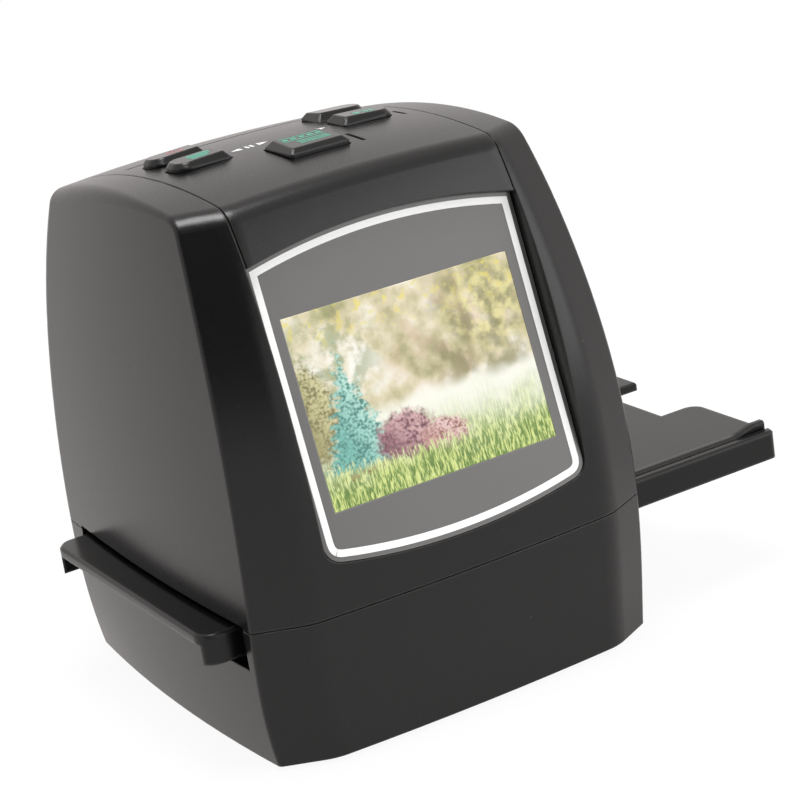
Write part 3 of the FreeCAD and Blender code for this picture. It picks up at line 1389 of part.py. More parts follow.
def camera_tower():
    """Dark hood from the film up to the lens, with posts for the sensor board."""
    body = new_body("camera_tower")
    flange_x = "(tower_length / 2 + tower_flange)"
    pad(body, "foot", rectangle((f"0 - {flange_x}", flange_x),
                                (f"{FILM_Y} - tower_width / 2", f"{FILM_Y} + tower_width / 2")),
        PLATE_TOP, "tower_wall")
    tower_loft(body, "hood", "PartDesign::AdditiveLoft", "0", PLATE_TOP, TOWER_TOP)
    tower_loft(body, "hollow", "PartDesign::SubtractiveLoft", "tower_wall", PLATE_TOP,
               f"{TOWER_TOP} - tower_wall")
    pocket(body, "barrel_hole", (), TOWER_TOP, "2 * tower_wall",
           (("0", FILM_Y, "barrel_radius + pin_gap"),))
    for index, (x, y) in enumerate(corners("sensor_post_place", f"{FILM_Y} - sensor_post_place",
                                           f"{FILM_Y} + sensor_post_place")):
        half = "sensor_post_radius"
        pad(body, f"post_{index}", rectangle((f"{x} - {half}", f"{x} + {half}"),
                                             (f"{y} - {half}", f"{y} + {half}")),
            f"{TOWER_TOP} - tower_wall", f"{SENSOR_BOARD_FOOT} - {TOWER_TOP} + tower_wall")
    return finish("camera_tower", body)


def lens_barrel():
    """Turned barrel with a flange on the tower and a step for each lens."""
    body = new_body("lens_barrel")
    sketch = body.newObject("Sketcher::SketchObject", "barrel_sketch")
    sketch.AttachmentSupport = [(origin_plane(body, "XZ_Plane"), "")]
    sketch.MapMode = "FlatFace"
    bind(sketch, ".AttachmentOffset.Base.z", f"0 - {FILM_Y}")
    step = "lens_radius - barrel_wall / 2"
    seat = "lens_radius + pin_gap"
    wide = "lens_radius + lens_step + pin_gap"
    polygon(sketch, [(step, BARREL_FOOT), ("barrel_radius", BARREL_FOOT),
                     ("barrel_radius", TOWER_TOP), ("barrel_radius + barrel_wall", TOWER_TOP),
                     ("barrel_radius + barrel_wall", f"{TOWER_TOP} + barrel_wall"),
                     ("barrel_radius", f"{TOWER_TOP} + barrel_wall"),
                     ("barrel_radius", BARREL_TOP), (wide, BARREL_TOP),
                     (wide, UPPER_SEAT), (seat, UPPER_SEAT),
                     (seat, f"{BARREL_FOOT} + barrel_wall"),
                     (step, f"{BARREL_FOOT} + barrel_wall")])
    turned = body.newObject("PartDesign::Revolution", "barrel")
    turned.Profile = sketch
    turned.ReferenceAxis = (sketch, ["V_Axis"])
    turned.Angle = 360
    doc.recompute()
    return finish("lens_barrel", body)


def lenses():
    """Two lenses, flat below and bulging above, each on a step of the barrel."""
    pieces = []
    rows = ((f"{BARREL_FOOT} + barrel_wall", "lens_radius"),
            (UPPER_SEAT, "lens_radius + lens_step"))
    for index, (foot, radius) in enumerate(rows):
        blank = rod(f"lens_blank_{index}", radius, "0", FILM_Y, (foot, f"{foot} + lens_thick"))
        ball = doc.addObject("Part::Sphere", f"lens_ball_{index}")
        bind(ball, "Radius", "lens_bulge_radius")
        bind(ball, ".Placement.Base.y", FILM_Y)
        bind(ball, ".Placement.Base.z", f"{foot} + lens_thick - lens_bulge_radius")
        lens = doc.addObject("Part::MultiCommon", f"lens_{index}")
        lens.Shapes = [blank, ball]
        pieces.append(lens)
    return finish("lenses", group("lenses", *pieces))


def sensor_board():
    """Square board on the tower's posts."""
    body = new_body("sensor_board")
    half = "sensor_board_side / 2"
    pad(body, "sheet", rectangle((f"0 - {half}", half), (f"{FILM_Y} - {half}",
                                                         f"{FILM_Y} + {half}")),
        SENSOR_BOARD_FOOT, "board_thick")
    return finish("sensor_board", body)


def image_sensor():
    """Flat package over the barrel."""
    body = new_body("image_sensor")
    pad(body, "package", rectangle(("0 - sensor_length / 2", "sensor_length / 2"),
                                   (f"{FILM_Y} - sensor_width / 2", f"{FILM_Y} + sensor_width / 2")),
        SENSOR_FOOT, "sensor_thick")
    return finish("image_sensor", body)


def screw(name, x, y, seat, radius, length, head_radius, head_tall, way=1):
    """An upright screw: its head lies on the seat and its shank runs the other way."""
    if way > 0:
        head = (f"{seat}", f"{seat} + {head_tall}")
        shank = (f"{seat} - {length}", f"{seat} + {head_tall} / 2")
    else:
        head = (f"{seat} - {head_tall}", f"{seat}")
        shank = (f"{seat} - {head_tall} / 2", f"{seat} + {length}")
    slot_low = f"{head[1]} - {head_tall} / 2" if way > 0 else f"{head[0]} - overrun"
    slot_high = f"{head[1]} + overrun" if way > 0 else f"{head[0]} + {head_tall} / 2"
    whole = fused(name + "_blank", rod(name + "_head", head_radius, x, y, head),
                  rod(name + "_shank", radius, x, y, shank))
    wide = f"{head_radius} * {RECESS_LONG_SHARE}"
    thin = f"{head_radius} * {RECESS_WIDE_SHARE}"
    first = block(name + "_slot_a", (f"{x} - {wide}", f"{x} + {wide}"),
                  (f"{y} - {thin}", f"{y} + {thin}"), (slot_low, slot_high))
    second = block(name + "_slot_b", (f"{x} - {thin}", f"{x} + {thin}"),
                   (f"{y} - {wide}", f"{y} + {wide}"), (slot_low, slot_high))
    return carved(name, whole, first, second)


def base_screws():
    """Four long screws from below that hold the two halves of the casing."""
    pieces = [screw(f"base_screw_{index}", x, y, f"{FLOOR} + screw_head_height",
                    "screw_radius - pilot_bite", f"{SEAM} - {FLOOR} - screw_head_height",
                    "screw_head_radius", "screw_head_height", -1)
              for index, (x, y) in enumerate(BOSS_PLACES)]
    return finish("base_screws", group("base_screws", *pieces))


def plate_screws():
    """Four screws through the camera plate into the guide's walls."""
    pieces = [screw(f"plate_screw_{index}", x, y, PLATE_TOP, "small_screw_radius - pin_gap",
                    "small_screw_length + plate_thick - fit_gap", "small_head_radius",
                    "small_head_height")
              for index, (x, y) in enumerate(PLATE_SCREWS)]
    return finish("plate_screws", group("plate_screws", *pieces))


def feet():
    """Four round rubber feet in their seats."""
    pieces = []
    for index, (x, y) in enumerate(corners("foot_x", "0 - foot_y", "foot_y")):
        foot = rod(f"foot_{index}", "foot_radius - pin_gap", x, y, ("0", f"{FLOOR} + foot_seat"))
        pieces.append(foot)
    return finish("rubber_feet", group("rubber_feet", *pieces))


# Main board at the back with its sockets

def main_board():
    """Upright board on four posts at the back."""
    sheet_block = block("main_board_sheet", ("0 - main_board_width / 2", "main_board_width / 2"),
                        (BOARD_FRONT, BOARD_BACK),
                        (f"{FLOOR} + main_board_low", f"{FLOOR} + main_board_high"))
    holes = [lying_rod(f"main_board_hole_{index}", "small_screw_radius + fit_gap", "y",
                       f"{BOARD_FRONT} - wall", f"{BOARD_BACK} + wall", x, z)
             for index, (x, z) in enumerate(BOARD_POSTS)]
    return finish("main_board", carved("main_board", sheet_block, *holes))


def board_screws():
    """Four screws through the main board into its posts."""
    pieces = []
    for index, (x, z) in enumerate(BOARD_POSTS):
        head = lying_rod(f"board_screw_head_{index}", "small_head_radius", "y",
                         f"{BOARD_FRONT} - small_head_height", BOARD_FRONT, x, z)
        shank = lying_rod(f"board_screw_shank_{index}", "small_screw_radius - pin_gap", "y",
                          f"{BOARD_FRONT} - small_head_height / 2",
                          f"{BOARD_BACK} + small_screw_length - fit_gap", x, z)
        pieces.append(fused(f"board_screw_{index}", head, shank))
    return finish("board_screws", group("board_screws", *pieces))


def chip(name, x, z, wide, tall, thick):
    """A chip on the front of the main board."""
    body = block(name + "_body", (f"{x} - {wide} / 2", f"{x} + {wide} / 2"),
                 (f"{BOARD_FRONT} - {thick}", BOARD_FRONT),
                 (f"{z} - {tall} / 2", f"{z} + {tall} / 2"))
    mark = lying_rod(name + "_mark", f"{thick} / 2", "y", f"{BOARD_FRONT} - {thick} - wall",
                     f"{BOARD_FRONT} - {thick} + chip_mark_depth", f"{x} - {wide} / 2 + {thick}",
                     f"{z} + {tall} / 2 - {thick}")
    return carved(name, body, mark)


def usb_socket():
    """Open metal cup with a blade inside it."""
    outer = block("usb_outer", (f"{USB_X} - usb_width / 2", f"{USB_X} + usb_width / 2"),
                  (BOARD_BACK, f"{BOARD_BACK} + socket_depth"),
                  (f"{PORT_Z} - usb_tall / 2", f"{PORT_Z} + usb_tall / 2"))
    inner = block("usb_inner", (f"{USB_X} - usb_width / 2 + usb_shell",
                                f"{USB_X} + usb_width / 2 - usb_shell"),
                  (f"{BOARD_BACK} + wall", f"{BOARD_BACK} + socket_depth + wall"),
                  (f"{PORT_Z} - usb_tall / 2 + usb_shell", f"{PORT_Z} + usb_tall / 2 - usb_shell"))
    blade = block("usb_blade", (f"{USB_X} - usb_width / 2 + 3 * usb_shell",
                                f"{USB_X} + usb_width / 2 - 3 * usb_shell"),
                  (f"{BOARD_BACK} + wall / 2", f"{BOARD_BACK} + socket_depth - wall / 2"),
                  (f"{PORT_Z} - usb_shell", f"{PORT_Z} + usb_shell"))
    return finish("usb_socket", fused("usb_socket", carved("usb_cup", outer, inner), blade))


def video_jack():
    """Square body with a round nose and a bore for a plug."""
    outer = block("jack_body", (f"{JACK_X} - jack_side / 2", f"{JACK_X} + jack_side / 2"),
                  (BOARD_BACK, f"{BOARD_BACK} + jack_depth"),
                  (f"{PORT_Z} - jack_side / 2", f"{PORT_Z} + jack_side / 2"))
    nose = lying_rod("jack_nose", "jack_nose_radius", "y", f"{BOARD_BACK} + jack_depth / 2",
                     f"{BOARD_BACK} + jack_depth + wall", JACK_X, PORT_Z)
    bore = lying_rod("jack_bore", "jack_radius", "y", f"{BOARD_BACK} + jack_side / 4",
                     f"{BOARD_BACK} + jack_depth + 2 * wall", JACK_X, PORT_Z)
    return finish("video_jack", carved("video_jack", fused("jack_blank", outer, nose), bore))


def card_socket():
    """Flat metal slot that opens to the back."""
    outer = block("card_outer", ("0 - card_width / 2", "card_width / 2"),
                  (BOARD_BACK, f"{BOARD_BACK} + card_depth"),
                  (f"{CARD_Z} - card_tall / 2", f"{CARD_Z} + card_tall / 2"))
    inner = block("card_inner", ("card_shell - card_width / 2", "card_width / 2 - card_shell"),
                  (f"{BOARD_BACK} + card_shell", f"{BOARD_BACK} + card_depth + wall"),
                  (f"{CARD_Z} - card_tall / 2 + card_shell", f"{CARD_Z} + card_tall / 2 - card_shell"))
    return finish("card_socket", carved("card_socket", outer, inner))


# Display module, upright in the window's own frame

def display_screen():
    """Glass of the display: a step fills the window's opening and a plate lies behind it."""
    half_x = "picture_width / 2"
    half_z = "picture_height / 2"
    step = block("screen_step", (f"screen_gap - {half_x}", f"{half_x} - screen_gap"),
                 ("screen_gap", "window_thick + fit_gap"),
                 (f"screen_gap - {half_z}", f"{half_z} - screen_gap"))
    plate = block("screen_plate", (f"0 - {half_x} - screen_lap", f"{half_x} + screen_lap"),
                  ("window_thick", "window_thick + ledge_wall"),
                  (f"0 - {half_z} - screen_lap", f"{half_z} + screen_lap"))
    return finish("display_screen", fused("display_screen", step, plate))


def display_frame():
    """Metal tray of the display with four ears screwed to the casing's ledge."""
    half_x = "module_width / 2"
    half_z = "module_height / 2"
    outer = block("frame_outer", (f"0 - {half_x}", half_x),
                  (FRAME_FRONT, f"{FRAME_FRONT} + module_thick"), (f"0 - {half_z}", half_z))
    inner = block("frame_inner", (f"module_wall - {half_x}", f"{half_x} - module_wall"),
                  (f"{FRAME_FRONT} - wall", f"{FRAME_FRONT} + module_thick - module_wall"),
                  (f"module_wall - {half_z}", f"{half_z} - module_wall"))
    pan = carved("frame_pan", outer, inner)
    ears = []
    holes = []
    for index, (x, z) in enumerate(MODULE_EARS):
        rim = "module_width / 2 - module_wall"
        side = (rim, x) if index % 2 else (x, f"0 - ({rim})")
        ears.append(block(f"ear_{index}", side, (FRAME_FRONT, f"{FRAME_FRONT} + module_wall"),
                          (f"{z} - ear_width / 2", f"{z} + ear_width / 2")))
        ears.append(lying_rod(f"ear_end_{index}", "ear_width / 2", "y", FRAME_FRONT,
                              f"{FRAME_FRONT} + module_wall", x, z))
        holes.append(lying_rod(f"ear_hole_{index}", "small_screw_radius + fit_gap", "y",
                               f"{FRAME_FRONT} - wall", f"{FRAME_FRONT} + wall", x, z))
    whole = fused("frame_blank", pan, *ears)
    return finish("display_frame", carved("display_frame", whole, *holes))


def display_backlight():
    """White sheet that fills the display's tray."""
    half_x = "module_width / 2 - module_wall - fit_gap"
    half_z = "module_height / 2 - module_wall - fit_gap"
    sheet_block = block("backlight_sheet", (f"0 - ({half_x})", half_x),
                        (f"{FRAME_FRONT} + fit_gap", f"{FRAME_FRONT} + module_thick - module_wall"),
                        (f"0 - ({half_z})", half_z))
    return finish("display_backlight", group("display_backlight", sheet_block))


def display_board():
    """Board on the back of the display's tray."""
    half_x = "module_width / 2 - ear_width"
    half_z = "module_height / 2 - ear_width / 2"
    back = f"{FRAME_FRONT} + module_thick"
    sheet_block = block("display_board_sheet", (f"0 - ({half_x})", half_x),
                        (back, f"{back} + board_thick"), (f"0 - ({half_z})", half_z))
    return finish("display_board", group("display_board", sheet_block))


def display_screws():
    """Four screws through the tray's ears into the ledge."""
    pieces = []
    seat = f"{FRAME_FRONT} + module_wall"
    for index, (x, z) in enumerate(MODULE_EARS):
        head = lying_rod(f"display_screw_head_{index}", "small_head_radius", "y", seat,
                         f"{seat} + small_head_height", x, z)
        shank = lying_rod(f"display_screw_shank_{index}", "small_screw_radius - pin_gap", "y",
                          "window_thick + fit_gap", f"{seat} + small_head_height / 2", x, z)
        pieces.append(fused(f"display_screw_{index}", head, shank))
    return finish("display_screws", group("display_screws", *pieces))


# Button board and its switches

def button_board():
    """Board under the buttons, on the cover's posts."""
    body = new_body("button_board")
    front = f"{FRONT} + button_board_front"
    back = f"{FRONT} + button_board_back"
    screws = [(x, y, "small_screw_radius + fit_gap") for x, y in BUTTON_POSTS]
    pad(body, "sheet", rectangle(("0 - button_board_length / 2", "button_board_length / 2"),
                                 (front, back)),
        f"{BOARD_TOP} - board_thick", "board_thick", screws)
    return finish("button_board", body)


def button_switches():
    """A switch under each button."""
    pieces = []
    for name, row in BUTTONS.items():
        x, y = row[0], f"{FRONT} + {row[1]}"
        half = "switch_side / 2"
        can = block(name + "_switch_can", (f"{x} - {half}", f"{x} + {half}"),
                    (f"{y} - {half}", f"{y} + {half}"), (BOARD_TOP, f"{BOARD_TOP} + switch_body"))
        plunger = rod(name + "_switch_plunger", "switch_plunger_radius", x, y,
                      (f"{BOARD_TOP} + switch_body / 2",
                       f"{BOARD_TOP} + switch_body + switch_plunger"))
        pieces.append(fused(name + "_switch", can, plunger))
    return finish("button_switches", group("button_switches", *pieces))


def button_board_screws():
    """Four screws from below through the button board."""
    pieces = [screw(f"cover_screw_{index}", x, y, f"{BOARD_TOP} - board_thick",
                    "small_screw_radius - pin_gap", "small_screw_length + board_thick - fit_gap",
                    "small_head_radius", "small_head_height", -1)
              for index, (x, y) in enumerate(BUTTON_POSTS)]
    return finish("cover_screws", group("cover_screws", *pieces))


def ribbon(name, low_x, high_x, points):
    """A flat cable: a thin strip about a line of points given as y, z pairs of formulas."""
    places = [spot(low_x, y, z) for y, z in points]
    half = size("ribbon_thick / 2")
    line = Part.makePolygon(places)
    strip = line.makeOffset2D(half, 2, True, True, False)
    strip = strip.fuse(line.makeOffset2D(-half, 2, True, True, False)).removeSplitter()
    solid = strip.Faces[0].extrude(FreeCAD.Vector(size(high_x) - size(low_x), 0, 0))
    return finish(name, solid_feature(name, solid))


def on_window(depth, up):
    """The y, z formulas of a point in the window's frame."""
    lean = "window_tilt"
    y = f"({FRONT} + window_middle_setback + ({depth}) * cos({lean}) + ({up}) * sin({lean}))"
    z = f"({FLOOR} + window_middle_height - ({depth}) * sin({lean}) + ({up}) * cos({lean}))"
    return y, z


def ribbons():
    """Flat cables between the boards and the lead of the lamps."""
    left = "display_ribbon_x"
    right = "display_ribbon_x + ribbon_width"
    behind = f"window_thick + ledge_wall + module_thick + board_thick + {HALF_RIBBON}"
    board_face = f"{BOARD_FRONT} - {HALF_RIBBON}"
    low = f"{FLOOR} + display_ribbon_height"
    ribbon("display_ribbon", left, right,
           [on_window(behind, "0 - display_ribbon_drop"), on_window(behind, "ribbon_end / 2"),
            (f"{FRONT} + body_depth / 4", low), (f"{BOARD_FRONT} - ribbon_end", low),
            (board_face, f"{low} - ribbon_end"), (board_face, f"{low} - 2 * ribbon_end")])
    middle = ("0 - ribbon_width / 2", "ribbon_width / 2")
    top = f"{SENSOR_BOARD_FOOT} + board_thick + {HALF_RIBBON}"
    edge = f"{FILM_Y} + sensor_board_side / 2"
    end = f"{FLOOR} + sensor_ribbon_height"
    ribbon("sensor_ribbon", middle[0], middle[1],
           [(f"{edge} - ribbon_end", top), (f"{edge} + ribbon_end", top),
            (f"{BOARD_FRONT} - 2 * ribbon_end", end), (board_face, f"{end} - ribbon_end"),
            (board_face, f"{end} - 2 * ribbon_end")])
    under = f"{BOARD_TOP} - board_thick - {HALF_RIBBON}"
    rear = f"{FRONT} + button_board_back"
    end = f"{FLOOR} + button_ribbon_height"
    ribbon("button_ribbon", middle[0], middle[1],
           [(f"{rear} - ribbon_end", under), (f"{rear} + ribbon_end", under),
            (f"{BOARD_FRONT} - ribbon_end", f"{end} + ribbon_end"), (board_face, end),
            (board_face, f"{end} - ribbon_end")])
    over = f"{LAMP_BOARD_TOP} + {HALF_RIBBON}"
    rear = f"{FILM_Y} + lamp_box_width / 2 + ribbon_end"
    board_rear = f"{BOARD_BACK} + {HALF_RIBBON}"
    foot = f"{FLOOR} + main_board_low"
    ribbon("lamp_lead", middle[0], middle[1],
           [(f"{rear} - ribbon_end + ribbon_thick", over), ("lead_run", over),
            ("lead_run", f"{foot} - ribbon_end / 2"), (board_rear, f"{foot} + ribbon_end / 2"),
            (board_rear, f"{foot} + 2 * ribbon_end")])


film_tray()
film_carrier()
carrier_lid()
hinge_pin()
tray_guide()
detent_springs()
lamp_house()
light_diffuser()
lamp_board()
lamps()
camera_plate()
camera_tower()
lens_barrel()
lenses()
sensor_board()
image_sensor()
base_screws()
plate_screws()
feet()
main_board()
board_screws()
finish("image_processor", chip("image_processor", "0", f"{FLOOR} + processor_height",
                               "chip_side", "chip_side", "chip_thick"))
finish("memory_chips", group("memory_chips",
                             chip("memory_left", "0 - memory_x", f"{FLOOR} + memory_height",
                                  "memory_width", "memory_length", "memory_thick"),
                             chip("memory_right", "memory_x", f"{FLOOR} + memory_height",
                                  "memory_width", "memory_length", "memory_thick")))
usb_socket()
video_jack()
card_socket()
for make in (display_screen, display_frame, display_backlight, display_board, display_screws):
    stand_on_window(make())
button_board()
button_switches()
button_board_screws()
ribbons()

doc.recompute()
os.makedirs("parts", exist_ok=True)
for thing in doc.Objects:
    if "Invalid" in thing.State or "Error" in thing.State:
        raise RuntimeError(thing.Label + " did not build")
for thing in finished:
    shape = thing.Shape
    if shape.isNull() or not shape.isValid():
        raise RuntimeError(thing.Label + " has a bad shape")
    print(thing.Label, len(shape.Solids), round(shape.Volume, 1))
    shape.exportStep("parts/" + thing.Label + ".step")
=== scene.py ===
# %% [markdown]
# This lesson dresses a small desktop film scanner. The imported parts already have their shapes
# and places, so most of the work is finish: moulded black plastic, a lacquered window pane, a
# lit display and printed marks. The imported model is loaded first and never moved.

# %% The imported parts
import math

import bpy
from mathutils import Matrix, Vector


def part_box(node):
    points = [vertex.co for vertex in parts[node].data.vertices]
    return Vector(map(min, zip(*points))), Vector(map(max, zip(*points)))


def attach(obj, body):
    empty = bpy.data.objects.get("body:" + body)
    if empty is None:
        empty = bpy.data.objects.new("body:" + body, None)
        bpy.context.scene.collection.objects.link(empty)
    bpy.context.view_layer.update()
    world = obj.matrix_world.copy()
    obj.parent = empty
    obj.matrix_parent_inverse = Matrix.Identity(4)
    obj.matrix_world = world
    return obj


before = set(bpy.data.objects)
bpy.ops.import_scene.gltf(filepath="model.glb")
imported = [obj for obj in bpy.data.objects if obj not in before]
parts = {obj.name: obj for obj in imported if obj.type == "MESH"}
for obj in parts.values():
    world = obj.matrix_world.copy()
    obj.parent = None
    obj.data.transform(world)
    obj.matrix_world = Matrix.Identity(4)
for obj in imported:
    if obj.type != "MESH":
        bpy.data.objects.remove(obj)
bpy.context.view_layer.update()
bpy.ops.object.select_all(action="DESELECT")

MM = 0.001


def in_mm(lengths, digits=2):
    """Lengths in mm, rounded for a print."""
    return [round(length / MM, digits) for length in lengths]


# %% [markdown]
# The camera stands in front, to the left and a little above, about half a metre away, with a
# long lens. It leans a little to one side. A camera looks along its own minus Z, so its three
# axes can be written down as the columns of a turn: right, up and back.

# %% Camera
AZIMUTH = math.radians(-27.825)
ELEVATION = math.radians(18.437)
ROLL = math.radians(-8.88)
CAMERA_PLACE = Vector((-0.22749, -0.430781, 0.210245))
SENSOR_WIDTH_MM = 36.0
LENS_MM = 112.946
NEAREST_SEEN = 0.01

back = Vector((math.sin(AZIMUTH) * math.cos(ELEVATION),
               -math.cos(AZIMUTH) * math.cos(ELEVATION), math.sin(ELEVATION)))
level = Vector((math.cos(AZIMUTH), math.sin(AZIMUTH), 0.0))
upward = back.cross(level)
right = level * math.cos(ROLL) + upward * math.sin(ROLL)
above = upward * math.cos(ROLL) - level * math.sin(ROLL)
bpy.ops.object.camera_add(location=CAMERA_PLACE)
camera = bpy.context.object
camera.name = "camera"
camera.rotation_euler = Matrix((right, above, back)).transposed().to_euler()
camera.data.sensor_width = SENSOR_WIDTH_MM
camera.data.lens = LENS_MM
camera.data.clip_start = NEAREST_SEEN
bpy.context.scene.camera = camera
print("camera looks along", [round(v, 3) for v in -back])

# %% [markdown]
# Node materials get long when every node is placed by hand, so small helpers do the typing. The
# first ones make an empty material, add a node with its values, join two sockets and do
# arithmetic on sockets or numbers. A soft step turns a number into a mask, and masks mix
# colours.

# %% Helpers for node trees
def blank_material(name):
    """A material whose tree holds only a Principled BSDF and its output."""
    material = bpy.data.materials.new(name)
    material.use_nodes = True
    return material, material.node_tree, material.node_tree.nodes["Principled BSDF"]


def add(tree, kind, **values):
    """A node of one kind. Names in lower case are properties, others are input sockets."""
    node = tree.nodes.new(kind)
    for name, value in values.items():
        if name[0].islower():
            setattr(node, name, value)
        else:
            node.inputs[name.replace("_", " ")].default_value = value
    return node


def wire(tree, source, target):
    """Join an output socket to an input socket, or set the input to a plain value."""
    if isinstance(source, bpy.types.NodeSocket):
        tree.links.new(source, target)
    else:
        target.default_value = source


def calc(tree, operation, first, second=0.0, third=0.0):
    """One Math node on sockets or numbers."""
    node = tree.nodes.new("ShaderNodeMath")
    node.operation = operation
    for value, socket in zip((first, second, third), node.inputs):
        wire(tree, value, socket)
    return node.outputs[0]


def soft_step(tree, value, low, high):
    """Nought below one value, one above another, and smooth between."""
    node = add(tree, "ShaderNodeMapRange", interpolation_type="SMOOTHSTEP")
    wire(tree, value, node.inputs["Value"])
    wire(tree, low, node.inputs["From Min"])
    wire(tree, high, node.inputs["From Max"])
    return node.outputs["Result"]


def blend_colours(tree, amount, first, second):
    """Mix two colours, each a socket or a plain colour."""
    node = add(tree, "ShaderNodeMix", data_type="RGBA")
    wire(tree, amount, node.inputs[0])
    for value, socket in ((first, node.inputs[6]), (second, node.inputs[7])):
        wire(tree, value, socket)
    return node.outputs[2]


def srgb(code):
    """A colour from its screen code, such as 757473, as the shader's linear numbers."""
    channels = [int(code[i:i + 2], 16) / 255 for i in (0, 2, 4)]
    linear = [v / 12.92 if v <= 0.04045 else ((v + 0.055) / 1.055) ** 2.4 for v in channels]
    return (*linear, 1.0)


# %% [markdown]
# Nearly every finish lays a texture on the part by its Object coordinates, lets the base colour
# drift between two colours and lets the roughness drift with it. With a helper, each of these
# takes one line.

# %% Helpers for finishes
def object_place(tree):
    """Where a point lies on the part, in metres."""
    return add(tree, "ShaderNodeTexCoord").outputs["Object"]


def placed(tree, kind, place=None, **values):
    """A texture or mapping node that lies on the part, or follows another place."""
    node = add(tree, kind, **values)
    wire(tree, object_place(tree) if place is None else place, node.inputs["Vector"])
    return node


def drift_colour(tree, shader, amount, code, other_code):
    """Let the base colour drift from one colour to another."""
    wire(tree, blend_colours(tree, amount, srgb(code), srgb(other_code)),
         shader.inputs["Base Color"])


def drift_roughness(tree, shader, amount, share, least):
    """Let the roughness rise from a value by a share of a mask."""
    wire(tree, calc(tree, "MULTIPLY_ADD", amount, share, least), shader.inputs["Roughness"])


# %% [markdown]
# Three effects show on more than one plastic: the fine grain of the mould, small edges that
# catch the light, and a few specks of dust. Each is a node group with its own inputs, so every
# material can ask for more or less of it.

# %% Groups for the shared effects
def new_group(name, inputs, outputs):
    """An empty shader group with float inputs (name: value) and outputs (name: kind)."""
    group = bpy.data.node_groups.new(name, "ShaderNodeTree")
    for socket_name, value in inputs.items():
        socket = group.interface.new_socket(socket_name, in_out="INPUT",
                                            socket_type="NodeSocketFloat")
        socket.default_value = value
    for socket_name, kind in outputs.items():
        group.interface.new_socket(socket_name, in_out="OUTPUT", socket_type=kind)
    start = group.nodes.new("NodeGroupInput")
    end = group.nodes.new("NodeGroupOutput")
    return group, start.outputs, end.inputs


def use_group(tree, group, **values):
    """Place a shared effect in a material with its own values."""
    node = tree.nodes.new("ShaderNodeGroup")
    node.node_tree = group
    for name, value in values.items():
        node.inputs[name].default_value = value
    return node.outputs


# %% [markdown]
# The grain has a fine height, whose size is given in mm, and a broad tone that drifts over the
# whole part.

# %% Grain of the mould
BROAD_SCALE = 28.0

grain, given, result = new_group("moulded_grain", {"Size": 0.35},
                                 {"Height": "NodeSocketFloat", "Tone": "NodeSocketFloat"})
place = object_place(grain)
fine = placed(grain, "ShaderNodeTexNoise", place, Detail=3.0, Roughness=0.6)
wire(grain, calc(grain, "DIVIDE", 1 / MM, given["Size"]), fine.inputs["Scale"])
broad = placed(grain, "ShaderNodeTexNoise", place, Scale=BROAD_SCALE, Detail=2.0)
wire(grain, fine.outputs["Fac"], result["Height"])
wire(grain, broad.outputs["Fac"], result["Tone"])
print("the broad tone changes over about", round(1 / (BROAD_SCALE * MM)), "mm")

# %% [markdown]
# A Bevel node turns the normal near an edge. Where its normal and the flat one point the same
# way, their product is one, and it falls where the edge is, which makes the mask.

# %% Small edges
EDGE_STARTS = 0.995
EDGE_FULL = 0.8

edges, given, result = new_group("small_edges", {"Radius": 0.3}, {
    "Normal": "NodeSocketVector", "Mask": "NodeSocketFloat"})
round_normal = add(edges, "ShaderNodeBevel", samples=4)
wire(edges, calc(edges, "MULTIPLY", given["Radius"], MM), round_normal.inputs["Radius"])
flat_normal = add(edges, "ShaderNodeNewGeometry").outputs["Normal"]
likeness = add(edges, "ShaderNodeVectorMath", operation="DOT_PRODUCT")
wire(edges, round_normal.outputs[0], likeness.inputs[0])
wire(edges, flat_normal, likeness.inputs[1])
wire(edges, soft_step(edges, likeness.outputs["Value"], EDGE_STARTS, EDGE_FULL), result["Mask"])
wire(edges, round_normal.outputs[0], result["Normal"])
print("nodes for the edges:", len(edges.nodes))

# %% [markdown]
# Each cell of a Voronoi texture holds one speck at its middle. The cell's own random colour
# decides how large the speck is, up to a few hundredths of the spacing, which is in mm.

# %% Specks of dust
SPECK_REACH = 0.035
SPECK_CORE_SHARE = 0.4

dust, given, result = new_group("dust_specks", {"Amount": 0.5, "Spacing": 7.0},
                                {"Mask": "NodeSocketFloat"})
cells = placed(dust, "ShaderNodeTexVoronoi")
wire(dust, calc(dust, "DIVIDE", 1 / MM, given["Spacing"]), cells.inputs["Scale"])
chance = add(dust, "ShaderNodeSeparateColor")
wire(dust, cells.outputs["Color"], chance.inputs[0])
limit = calc(dust, "MULTIPLY", chance.outputs[0], SPECK_REACH)
near = soft_step(dust, cells.outputs["Distance"], limit,
                 calc(dust, "MULTIPLY", limit, SPECK_CORE_SHARE))
wire(dust, calc(dust, "MULTIPLY", near, given["Amount"]), result["Mask"])
print("shared effects:", [group.name for group in (grain, edges, dust)])

# %% [markdown]
# All the plastics are the same kind of material with other numbers: a colour that drifts a
# little over the surface, a roughness that follows the grain, edges that are rubbed shinier and
# paler, partly by wear and partly as a painted highlight, and dust on top. One function makes
# them all, so that they stay alike.

# %% Plastics
EDGE_WEAR_AND_HIGHLIGHT_COLOUR = srgb("6b6967")
EDGE_WEAR_AND_HIGHLIGHT_SHARE = 0.25
WORN_SMOOTHER = 0.08
DUST_COLOUR = srgb("a8a49e")
GRAIN_ROUGHER = 0.08
GRAIN_HEIGHT = 0.00005


